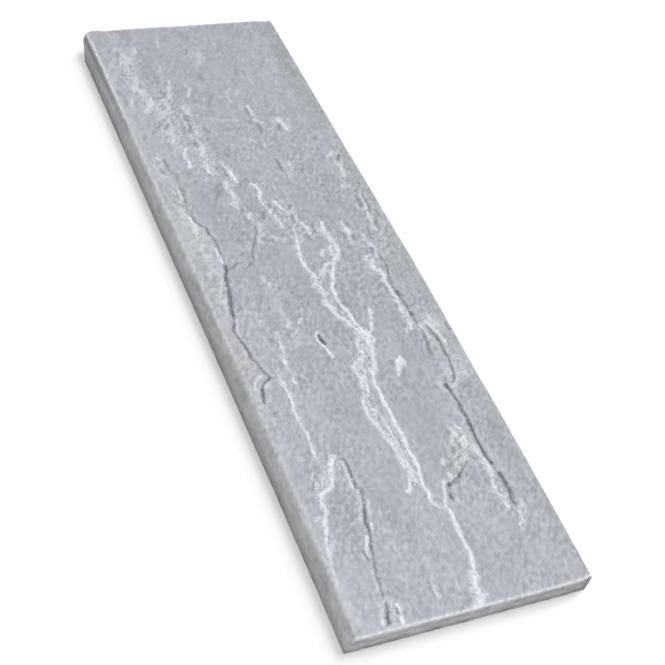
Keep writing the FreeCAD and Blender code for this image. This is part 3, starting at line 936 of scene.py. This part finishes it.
def soft_field(places, strands):
    """Strength of the strongest strand at each place, fading out to its half width."""
    field = np.zeros(len(places))
    for strand in strands:
        gap = nearest_strand(places, [strand]).gap
        faded = strand.strength * (1 - smooth_step(SOFT_CORE, 1, gap / strand.half_width))
        field = np.maximum(field, faded)
    return field


def ledge_height(places, ledge):
    """Rise of one riven layer above the next, fading away from the route and towards its ends."""
    route = np.array(ledge.route, float)
    runs = np.diff(route, axis=0)
    lengths = np.hypot(runs[:, 0], runs[:, 1])
    total = lengths.sum()
    gap = np.full(len(places), np.inf)
    side = np.zeros(len(places))
    passed = np.zeros(len(places))
    before = 0.0
    for start, run, length in zip(route[:-1], runs, lengths):
        share = np.clip((places - start) @ run / (run @ run), 0, 1)
        offset = places - start - share[:, None] * run
        distance = np.hypot(offset[:, 0], offset[:, 1])
        nearer = distance < gap
        gap[nearer] = distance[nearer]
        side[nearer] = np.sign(run[0] * offset[nearer, 1] - run[1] * offset[nearer, 0])
        passed[nearer] = before + share[nearer] * length
        before += length
    near_end = np.minimum(passed, total - passed)
    fade = (1 - smooth_step(0, LEDGE_FADE, gap)) * smooth_step(0, LEDGE_FADE, near_end)
    return ledge.height / 2 * side * fade


def top_relief(places, vein, cleft, rough):
    """Height of the riven face above the plain top, in millimetres."""
    along, across = places.T
    height = sum(ledge_height(places, ledge) for ledge in LEDGES)
    height += VEIN_RISE * np.exp(-((vein.gap / vein.half_width) ** 2)) * vein.strength
    height -= CLEFT_DEPTH * np.exp(-((cleft.gap / cleft.half_width) ** 2)) * cleft.strength
    height += SWELL_RISE * cloud_noise(along / SWELL_LENGTH, across / SWELL_WIDTH, SWELL_SLICE, octaves=2)
    split = cloud_noise(along / SPLIT_LENGTH, across / SPLIT_WIDTH, SPLIT_SLICE, octaves=3)
    return height + (SPLIT_RISE + ROUGH_RISE * rough) * split


def edge_wander(x, y, z):
    """Moves along and across, in metres, from the straight slab to the uneven edges of the real one."""
    along = x / LENGTH + 0.5
    across = y / (2 * TOP_SIDE) + 0.5
    height = np.clip(z / THICKNESS, 0, 1)
    bites = BITE * cloud_noise(x / BITE_LENGTH, y / BITE_LENGTH, z / BITE_HEIGHT, octaves=3)
    top_edge = smooth_step(SHOULDER, THICKNESS, z)
    right, left = (smooth_step(HALF_WIDTH - EDGE_REACH, TOP_SIDE, side) for side in (y, -y))
    near, far = (smooth_step(HALF_LENGTH - EDGE_REACH, HALF_LENGTH - END_ARRIS, end) for end in (x, -x))
    right_edge = read_table(RIGHT_EDGE, along) * MM + bites
    left_edge = (read_table(LEFT_EDGE, along) - top_edge * read_table(LEFT_WEAR, along)) * MM + bites
    far_edge = read_table(FAR_EDGE, across) * MM + bites
    near_share = NEAR_FOOT_SHARE + (1 - NEAR_FOOT_SHARE) * height
    near_edge = read_table(NEAR_EDGE, across) * MM * near_share + bites - NEAR_UNDERCUT * (1 - height)
    return near * near_edge - far * far_edge, right * right_edge - left * left_edge


def arris_swell(y, z):
    """Moves across and up that round the long arrises, most of all half way up them."""
    rise = np.clip((z - SHOULDER) / ARRIS_DROP, 0, 1)
    on_arris = smooth_step(TOP_SIDE - ARRIS_START, TOP_SIDE + ARRIS_START, np.abs(y))
    swell = ARRIS_SWELL * on_arris * 4 * rise * (1 - rise) / math.hypot(ARRIS_RUN, ARRIS_DROP)
    return np.sign(y) * swell * ARRIS_DROP, swell * ARRIS_RUN


def corner_loss(x, y, z):
    """Move along that takes away the lower corner at the left of the far end."""
    height = np.clip(z / THICKNESS, 0, 1)
    on_left = smooth_step(HALF_WIDTH - EDGE_REACH, HALF_WIDTH, -y)
    by_the_end = 1 - smooth_step(0, LOST_CORNER_REACH, x + HALF_LENGTH)
    return LOST_CORNER * (1 - height) ** LOST_CORNER_CURVE * on_left * by_the_end


def pale_rims(along, y, z, end_face):
    """How pale the rims are worn: the upper edges of both ends, and the left arris."""
    left_rim = smooth_step(TOP_SIDE - RIM_BAND, TOP_SIDE, -y) * read_table(LEFT_WORN, along)
    foot = THICKNESS - read_table(LEFT_WORN_DEPTH, along) * MM
    left_rim *= smooth_step(foot, foot + RIM_FADE, z)
    end_rim = end_face * smooth_step(THICKNESS - RIM_BAND, THICKNESS - END_ARRIS, z)
    return np.maximum(end_rim, left_rim)


def keep_values(mesh, name, values):
    """Store one number at each point of the mesh."""
    mesh.attributes.new(name, "FLOAT", "POINT").data.foreach_set("value", values)


def keep_vectors(mesh, name, vectors):
    """Store one vector at each point of the mesh."""
    mesh.attributes.new(name, "FLOAT_VECTOR", "POINT").data.foreach_set("vector", vectors.ravel())


def carve(mesh):
    """Give the plain slab its uneven edges and riven top, and keep there what the materials follow."""
    count = len(mesh.vertices)
    spots = np.empty(count * 3)
    mesh.vertices.foreach_get("co", spots)
    x, y, z = spots.reshape(count, 3).T
    along = (x + HALF_LENGTH) / MM
    places = np.column_stack([along, (y + TOP_SIDE) / MM])
    vein = nearest_strand(places, VEINS)
    cleft = nearest_strand(places, CLEFTS)
    rough = soft_field(places, ROUGH)
    end_face = smooth_step(HALF_LENGTH - END_BAND, HALF_LENGTH - END_ARRIS, np.abs(x))
    for name, nearest in (("vein", vein), ("cleft", cleft)):
        keep_vectors(mesh, f"{name}_way", np.column_stack([nearest.way, nearest.gap]))
        keep_values(mesh, f"{name}_width", nearest.half_width)
        keep_values(mesh, f"{name}_strength", nearest.strength)
    keep_values(mesh, "rough", rough)
    keep_values(mesh, "froth", soft_field(places, FROTH))
    keep_values(mesh, "shift", soft_field(places, PALE) - soft_field(places, SHADE))
    keep_values(mesh, "olive", soft_field(places, OLIVE))
    keep_values(mesh, "warm", soft_field(places, WARM))
    keep_values(mesh, "worn", pale_rims(along, y, z, end_face))
    keep_values(mesh, "end_face", end_face)
    wander_along, wander_across = edge_wander(x, y, z)
    swell_across, swell_up = arris_swell(y, z)
    on_top = smooth_step(SHOULDER, THICKNESS, z)
    carved = np.column_stack([
        x + wander_along + corner_loss(x, y, z),
        y + wander_across + swell_across,
        z + swell_up + on_top * top_relief(places, vein, cleft, rough) * MM,
    ])
    mesh.vertices.foreach_set("co", carved.ravel())


def linear(colour):
    """A colour as it looks on screen, 0 to 255, turned into the shader's linear values."""
    shares = [value / 255 for value in colour]
    return [s / 12.92 if s <= 0.04045 else ((s + 0.055) / 1.055) ** 2.4 for s in shares] + [1.0]


# Sockets of a Mix node that mixes colours
MIX_FACTOR = 0
MIX_FIRST = 6
MIX_SECOND = 7
MIX_RESULT = 2


class Tree:
    """Short ways to add and join shader nodes."""

    def __init__(self, tree):
        self.tree = tree

    def add(self, kind, inputs=(), **settings):
        node = self.tree.nodes.new(kind)
        for name, value in settings.items():
            setattr(node, name, value)
        for name, value in dict(inputs).items():
            self.feed(node.inputs[name], value)
        return node

    def feed(self, socket, value):
        if isinstance(value, bpy.types.NodeSocket):
            self.tree.links.new(value, socket)
        else:
            socket.default_value = value

    def math(self, operation, first, second):
        return self.add("ShaderNodeMath", {0: first, 1: second}, operation=operation).outputs[0]

    def plus(self, first, second):
        return self.math("ADD", first, second)

    def minus(self, first, second):
        return self.math("SUBTRACT", first, second)

    def times(self, first, second):
        return self.math("MULTIPLY", first, second)

    def larger(self, first, second):
        return self.math("MAXIMUM", first, second)

    def vector(self, operation, inputs, output="Vector"):
        return self.add("ShaderNodeVectorMath", inputs, operation=operation).outputs[output]

    def split(self, vector):
        return self.add("ShaderNodeSeparateXYZ", {0: vector}).outputs

    def spread(self, value, from_low, from_high, to_low=0.0, to_high=1.0, curve="LINEAR"):
        names = ("From Min", "From Max", "To Min", "To Max")
        inputs = dict(zip(names, (from_low, from_high, to_low, to_high)), Value=value)
        return self.add("ShaderNodeMapRange", inputs, interpolation_type=curve).outputs["Result"]

    def soft_spread(self, value, from_low, from_high, to_low=0.0, to_high=1.0):
        return self.spread(value, from_low, from_high, to_low, to_high, "SMOOTHSTEP")

    def blend(self, factor, first, second, way="MIX"):
        inputs = {MIX_FACTOR: factor, MIX_FIRST: first, MIX_SECOND: second}
        node = self.add("ShaderNodeMix", inputs, data_type="RGBA", blend_type=way)
        return node.outputs[MIX_RESULT]

    def cloud(self, position, stretch, scale, detail, roughness=0.55):
        mapped = self.vector("MULTIPLY", {0: position, 1: stretch})
        inputs = {"Vector": mapped, "Scale": scale, "Detail": detail, "Roughness": roughness}
        return self.add("ShaderNodeTexNoise", inputs).outputs["Fac"]

    def place(self, group, inputs):
        return self.add("ShaderNodeGroup", inputs, node_tree=group).outputs

    def slanted(self, position):
        inputs = {"Vector": position, "Angle": GRAIN_SLANT}
        return self.add("ShaderNodeVectorRotate", inputs, rotation_type="Z_AXIS").outputs["Vector"]

    def attribute(self, name, output="Fac"):
        return self.add("ShaderNodeAttribute", attribute_name=name).outputs[output]


# Kinds of socket in a shader group
NUMBER = "NodeSocketFloat"
VECTOR = "NodeSocketVector"


def new_group(name, inputs, outputs):
    """An empty shader group with its named sockets, as (tree, input sockets, output sockets)."""
    group = bpy.data.node_groups.new(name, "ShaderNodeTree")
    for label, kind in inputs.items():
        group.interface.new_socket(label, in_out="INPUT", socket_type=kind)
    for label in outputs:
        group.interface.new_socket(label, in_out="OUTPUT", socket_type=NUMBER)
    tree = Tree(group)
    return tree, tree.add("NodeGroupInput").outputs, tree.add("NodeGroupOutput").inputs


def line_group():
    """Mask of the veins or clefts, crumbling and wavering as natural ones do, and of the rim beside them."""
    inputs = {"Position": VECTOR, "Way": VECTOR, "Half Width": NUMBER, "Strength": NUMBER, "Waver": NUMBER,
              "Crumble": NUMBER}
    tree, source, result = new_group("routed_line", inputs, ["Mask", "Rim"])
    position = source["Position"]
    # Distance to the line in half widths, with the line moved about and its width swelling
    way = tree.split(source["Way"])
    flat_way = tree.add("ShaderNodeCombineXYZ", {0: way[0], 1: way[1]}).outputs[0]
    wander = {"Vector": position, "Scale": 230.0, "Detail": 2.0}
    drift = tree.add("ShaderNodeTexNoise", wander).outputs["Color"]
    centred = tree.vector("SUBTRACT", {0: drift, 1: (0.5, 0.5, 0.5)})
    scaled = tree.vector("SCALE", {0: centred, "Scale": source["Waver"]})
    moved = tree.vector("ADD", {0: flat_way, 1: scaled})
    length = tree.vector("LENGTH", {0: moved}, "Value")
    distance = tree.larger(length, tree.minus(way[2], CELL / MM))
    swell = tree.spread(tree.cloud(position, EVEN, scale=75.0, detail=1.0), 0.3, 0.7, 0.65, 1.35)
    ratio = tree.math("DIVIDE", distance, tree.times(source["Half Width"], swell))
    # Line with a crumbling edge
    grain = tree.minus(tree.cloud(position, (0.8, 1, 1), scale=330.0, detail=1.5), 0.5)
    inside = tree.minus(1.0, tree.times(ratio, 0.45))
    crumbled = tree.plus(inside, tree.times(grain, source["Crumble"]))
    line = tree.soft_spread(crumbled, 0.15, 0.95)
    # Strength, which comes and goes along the line, the more so the more it crumbles
    least = tree.spread(source["Crumble"], 0.6, 1.6, 0.8, 0.4)
    patchy = tree.spread(tree.cloud(position, EVEN, scale=210.0, detail=2.0), 0.36, 0.62, least, 1.15)
    strong = tree.times(tree.math("POWER", source["Strength"], 1.3), patchy)
    tree.feed(result["Mask"], tree.times(line, strong))
    # Rim at a few half widths from the line
    rim_start = tree.soft_spread(ratio, 1.8, 3.2)
    rim_end = tree.soft_spread(ratio, 4.0, 6.0, 1.0, 0.0)
    rim = tree.times(rim_start, rim_end)
    tree.feed(result["Rim"], tree.times(rim, tree.math("MINIMUM", strong, 1.0)))
    return tree.tree


def grain_group():
    """Shared look of the stone itself: mottling, lens-shaped grain and relief about zero, and worn edges."""
    inputs = {"Position": VECTOR, "Wear": NUMBER}
    tree, source, result = new_group("stone_grain", inputs, ["Mottle", "Grain", "Relief", "Worn"])
    position = source["Position"]
    slanted = tree.slanted(position)
    looks = {
        "Mottle": tree.cloud(position, (0.4, 1, 1), scale=60.0, detail=2.0, roughness=0.6),
        "Grain": tree.cloud(slanted, LENS, scale=195.0, detail=1.3, roughness=0.5),
        "Relief": tree.cloud(position, (0.5, 1, 1), scale=135.0, detail=2.0, roughness=0.6),
    }
    for name, value in looks.items():
        tree.feed(result[name], tree.minus(value, 0.5))
    broken = tree.spread(looks["Grain"], 0.3, 0.55, 0.4, 0.85)
    tree.feed(result["Worn"], tree.times(source["Wear"], broken))
    return tree.tree


def new_material(name):
    """A material with its shader, the object's own coordinates and a tree to build in."""
    material = bpy.data.materials.new(name)
    material.use_nodes = True
    tree = Tree(material.node_tree)
    shader = material.node_tree.nodes["Principled BSDF"]
    position = tree.add("ShaderNodeTexCoord").outputs["Object"]
    return material, tree, shader, position


def finish_stone(tree, shader, colour, grain, least_rough, most_rough, height, bump_strength):
    """Feed a stone's colour, roughness and fine relief to its shader, and set its gloss."""
    tree.feed(shader.inputs["Base Color"], colour)
    tree.feed(shader.inputs["Roughness"], tree.spread(grain, -0.3, 0.3, least_rough, most_rough))
    relief = {"Height": height, "Strength": bump_strength, "Distance": FINE_RELIEF}
    tree.feed(shader.inputs["Normal"], tree.add("ShaderNodeBump", relief).outputs["Normal"])
    shader.inputs["Specular IOR Level"].default_value = STONE_GLOSS


def split_grey(tree, position, slanted, look, rough):
    """Cool grey of the split face: mottled and grained, with its soft light, dark and stained areas."""
    along = tree.split(position)["X"]
    calm_end = 50 * MM - HALF_LENGTH
    calm = tree.spread(along, calm_end, 50 * MM, 0.54, 1.0)
    patches = tree.spread(tree.cloud(position, (0.7, 1, 1), scale=24.0, detail=1.0), 0.36, 0.62, 0.05, 0.7)
    coarse = tree.times(tree.spread(tree.larger(patches, rough), 0.0, 1.0, 0.35, 1.15), calm)
    fine = tree.times(tree.times(look["Grain"], GRAIN_TONE), coarse)
    clumped = tree.minus(tree.cloud(slanted, LENS, scale=115.0, detail=1.0), 0.5)
    clumps = tree.times(clumped, tree.spread(along, calm_end, 0.0, CLUMP_TONE, 0.0))
    mottle = tree.times(look["Mottle"], MOTTLE_TONE)
    area = tree.times(tree.attribute("shift"), AREA_TONE)
    tone = tree.plus(tree.plus(mottle, tree.plus(fine, clumps)), tree.plus(area, SPLIT_TONE))
    colour = tree.blend(tone, linear(SPLIT_DARK), linear(SPLIT_LIGHT))
    damp = tree.times(tree.attribute("olive"), DAMP_SHARE)
    colour = tree.blend(damp, colour, DAMP_STAIN, "MULTIPLY")
    return tree.blend(tree.attribute("warm"), colour, BROWN_STAIN, "MULTIPLY")


def line_masks(tree, group, position, name, widen, waver, crumble):
    """Masks of one family of strands kept on the mesh."""
    half_width = tree.times(tree.attribute(f"{name}_width"), widen)
    way = tree.attribute(f"{name}_way", "Vector")
    strength = tree.attribute(f"{name}_strength")
    inputs = {"Position": position, "Way": way, "Half Width": half_width, "Strength": strength,
              "Waver": waver, "Crumble": crumble}
    return tree.place(group, inputs)


def riven_stone(grain, line):
    """Split face: cool mottled grey with crumbling white veins, clefts and pits darkened with painted shade,
    and painted shade and highlight beside the lines.
    """
    material, tree, shader, position = new_material("riven_stone")
    look = tree.place(grain, {"Position": position, "Wear": tree.attribute("worn")})
    rough = tree.attribute("rough")
    froth = tree.attribute("froth")
    slanted = tree.slanted(position)
    hollow_shade_grey = linear(HOLLOW_SHADE_GREY)
    white = linear(VEIN_WHITE)
    colour = split_grey(tree, position, slanted, look, rough)
    # Painted shade in pits and in the gaps between crumbs, and pale specks
    crumb = tree.cloud(slanted, LENS, scale=200.0, detail=2.0, roughness=0.6)
    gaps = tree.times(tree.soft_spread(crumb, 0.44, 0.32), froth)
    pits = tree.soft_spread(tree.cloud(slanted, LENS, scale=180.0, detail=1.5), 0.6, 0.72)
    pitted = tree.times(pits, tree.spread(rough, 0.0, 1.0, 0.05, 0.5))
    colour = tree.blend(tree.larger(gaps, pitted), colour, hollow_shade_grey)
    speck = tree.cloud(slanted, (0.75, 1, 1), scale=170.0, detail=1.5)
    colour = tree.blend(tree.soft_spread(speck, 0.4, 0.28, 0.0, 0.15), colour, white)
    # Veins and clefts, with painted shade on the rims beside the veins and a painted highlight on those
    # beside the clefts, and the crumbs of the veins
    crumbs = tree.times(tree.soft_spread(crumb, 0.46, 0.64, 0.0, 0.8), froth)
    vein_crumble = tree.spread(froth, 0.0, 0.8, 0.7, 1.7)
    veins = line_masks(tree, line, position, "vein", widen=1.0, waver=1.45, crumble=vein_crumble)
    clefts = line_masks(tree, line, position, "cleft", widen=1.25, waver=1.4, crumble=1.1)
    pale_parts = tree.larger(crumbs, veins["Mask"])
    # Painted shade on the rim beside each vein
    colour = tree.blend(tree.times(veins["Rim"], 0.08), colour, hollow_shade_grey)
    # Painted highlight on the rim beside each cleft
    colour = tree.blend(tree.times(clefts["Rim"], 0.14), colour, white)
    colour = tree.blend(pale_parts, colour, white)
    # Clefts darkened with painted shade, deepest where they are strongest
    colour = tree.blend(clefts["Mask"], colour, linear(CLEFT_SHADE_GREY))
    deepest_shade = tree.spread(clefts["Mask"], 1.1, 2.0, 0.0, 0.8)
    colour = tree.blend(deepest_shade, colour, linear(CLEFT_DEEP_SHADE))
    colour = tree.blend(look["Worn"], colour, white)
    # Fine relief
    split = tree.times(look["Relief"], tree.spread(rough, 0.0, 1.0, 1.0, 2.0))
    raised = tree.plus(split, tree.times(pale_parts, 0.2))
    height = tree.minus(raised, tree.times(clefts["Mask"], 0.5))
    finish_stone(tree, shader, colour, look["Grain"], least_rough=0.7, most_rough=0.95, height=height,
                 bump_strength=1.0)
    return material


def end_bands_and_foot_shade(tree, place, position):
    """Tone of the bands up a sawn end, with painted shade in the low ones along the foot, darker towards its
    right and at the knocked corner.
    """
    wander = tree.spread(tree.cloud(position, (1, 1, 0.3), scale=40.0, detail=2.0), 0.3, 0.7,
                         -BED_WAVER, BED_WAVER)
    share = tree.math("DIVIDE", tree.plus(place["Z"], wander), THICKNESS)
    band_ramp = tree.add("ShaderNodeValToRGB", {"Fac": share})
    ramp = band_ramp.color_ramp.elements
    stops = [*ramp, *(ramp.new(0.5) for _ in END_BANDS_AND_FOOT_SHADE[2:])]
    for stop, (height, tone) in zip(stops, END_BANDS_AND_FOOT_SHADE):
        stop.position = height
        stop.color = (tone, tone, tone, 1)
    darker_right = tree.spread(place["Y"], 20 * MM, HALF_WIDTH, 0.0, 0.22)
    dark_corner = tree.spread(place["Y"], TOP_SIDE - 12 * MM, TOP_SIDE + 2 * MM, 0.0, 0.7)
    return tree.minus(band_ramp.outputs["Color"], tree.plus(darker_right, dark_corner))


def side_shade_and_darkening(tree, place):
    """Painted shade on the long sides along the foot and towards the far end, and a darker far part of the
    arris, mostly on the left.
    """
    # Painted shade along the foot, fading out near the near end
    foot = tree.spread(place["Z"], 0.0, SHOULDER, 0.44, 0.0)
    foot = tree.times(foot, tree.spread(place["X"], HALF_LENGTH - 110 * MM, HALF_LENGTH - 40 * MM, 1.0, 0.2))
    # Darker far part of the arris, mostly on the left
    on_left = tree.spread(place["Y"], -100 * MM, 100 * MM, 1.0, 0.25)
    darker_far = tree.spread(place["X"], 120 * MM - HALF_LENGTH, 300 * MM - HALF_LENGTH, 0.7, 0.16)
    arris = tree.times(tree.spread(place["Z"], SHOULDER, SHOULDER + 5 * MM), tree.times(darker_far, on_left))
    # Painted shade towards the far end
    far_end = tree.spread(place["X"], -HALF_LENGTH, 200 * MM - HALF_LENGTH, 0.25, 0.0)
    return tree.plus(tree.larger(foot, arris), far_end)


def sawn_stone(grain):
    """Sawn sides, ends and bed and the dressed arrises: faintly bedded, with painted shade along the foot,
    pale where the edge is worn.
    """
    material, tree, shader, position = new_material("sawn_stone")
    look = tree.place(grain, {"Position": position, "Wear": tree.attribute("worn")})
    place = tree.split(position)
    mottle = tree.times(look["Mottle"], SAWN_MOTTLE_TONE)
    grains = tree.times(look["Grain"], SAWN_GRAIN_TONE)
    speckle = tree.plus(mottle, grains)
    side_colour = tree.blend(tree.plus(speckle, SAWN_TONE), linear(SIDE_DARK), linear(SIDE_LIGHT))
    # Painted shade along the foot and towards the far end of the sides, and the darker far part of the arris
    side_colour = tree.blend(side_shade_and_darkening(tree, place), side_colour, linear(SIDE_SHADE_GREY))
    # Bands of the end, with painted shade along its foot
    end_tone = tree.plus(speckle, end_bands_and_foot_shade(tree, place, position))
    end_colour = tree.blend(end_tone, linear(END_DARK), linear(END_LIGHT))
    colour = tree.blend(tree.attribute("end_face"), side_colour, end_colour)
    colour = tree.blend(look["Worn"], colour, linear(WORN_PALE))
    height = tree.plus(look["Relief"], tree.times(look["Grain"], 0.4))
    finish_stone(tree, shader, colour, look["Grain"], least_rough=0.75, most_rough=0.95, height=height,
                 bump_strength=0.6)
    return material


def mesh_from(bm, name):
    """A mesh made from a finished bmesh."""
    mesh = bpy.data.meshes.new(name)
    bm.to_mesh(mesh)
    bm.free()
    return mesh


def new_object(name, data):
    """Put a mesh, lamp or camera in the scene."""
    thing = bpy.data.objects.new(name, data)
    bpy.context.scene.collection.objects.link(thing)
    return thing


def coping_slab():
    """The finished stone as one piece that stands for the CAD slab."""
    bm = plain_slab()
    for face in bm.faces:
        face.smooth = True
        face.material_index = 0 if face.normal.z > TOP_FACING else 1
    mesh = mesh_from(bm, "coping_slab")
    carve(mesh)
    mesh.set_sharp_from_angle(angle=SHARP_ANGLE)
    grain = grain_group()
    mesh.materials.append(riven_stone(grain, line_group()))
    mesh.materials.append(sawn_stone(grain))
    slab = new_object("coping_slab", mesh)
    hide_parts("coping_stone")
    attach(slab, "root")


def seen_rays(tree):
    """1 for rays that show the ground or the surround itself, 0 for those that only light the stone."""
    path = tree.add("ShaderNodeLightPath").outputs
    direct = tree.larger(path["Is Camera Ray"], path["Is Glossy Ray"])
    return tree.larger(direct, path["Is Transmission Ray"])


def studio_floor():
    """White ground that keeps the slab's soft shadow."""
    bm = bmesh.new()
    bmesh.ops.create_grid(bm, x_segments=1, y_segments=1, size=FLOOR_REACH)
    mesh = mesh_from(bm, "studio_floor")
    material = bpy.data.materials.new("white_ground")
    material.use_nodes = True
    tree = Tree(material.node_tree)
    shader = material.node_tree.nodes["Principled BSDF"]
    shader.inputs["Base Color"].default_value = FLOOR_GREY
    shader.inputs["Roughness"].default_value = 1.0
    shader.inputs["Specular IOR Level"].default_value = 0.0
    shader.inputs["Emission Color"].default_value = WHITE
    tree.feed(shader.inputs["Emission Strength"], tree.times(seen_rays(tree), FLOOR_GLOW))
    mesh.materials.append(material)
    floor = new_object("studio_floor", mesh)


def soft_lamp(name, towards, energy, spread):
    """A distant lamp that shines in one direction, softened by its apparent size in degrees."""
    lamp = bpy.data.lights.new(name, "SUN")
    lamp.energy = energy
    lamp.angle = math.radians(spread)
    source = new_object(name, lamp)
    source.rotation_euler = Vector(towards).to_track_quat("-Z", "Y").to_euler()


def studio_light():
    """An even white surround, a broad lamp overhead and a weaker low one from the far right."""
    world = bpy.data.worlds.new("studio")
    bpy.context.scene.world = world
    world.use_nodes = True
    tree = Tree(world.node_tree)
    surround = world.node_tree.nodes["Background"]
    surround.inputs["Color"].default_value = WHITE
    surround.inputs["Strength"].default_value = SURROUND_LIGHT
    white = tree.add("ShaderNodeBackground", {"Color": WHITE, "Strength": 1.0})
    mixed = tree.add("ShaderNodeMixShader", {0: seen_rays(tree), 1: surround.outputs[0], 2: white.outputs[0]})
    tree.feed(world.node_tree.nodes["World Output"].inputs["Surface"], mixed.outputs[0])
    soft_lamp("overhead_lamp", towards=(0.08, -0.4, -1.0), energy=1.1, spread=28)
    soft_lamp("side_lamp", towards=(0.5, -1.1, -0.9), energy=0.8, spread=20)


def photo_camera():
    """Camera at the photograph's place, turned about its own axis as the photograph is."""
    lens = bpy.data.cameras.new("photo_camera")
    lens.lens = LENS_MM
    lens.sensor_width = SENSOR_MM
    camera = new_object("photo_camera", lens)
    facing = (TARGET - EYE).to_track_quat("-Z", "Y").to_matrix().to_4x4()
    camera.matrix_world = Matrix.Translation(EYE) @ facing @ Matrix.Rotation(ROLL, 4, "Z")
    bpy.context.scene.camera = camera


coping_slab()
studio_floor()
studio_light()
photo_camera()
bpy.context.scene.view_settings.view_transform = "Standard"
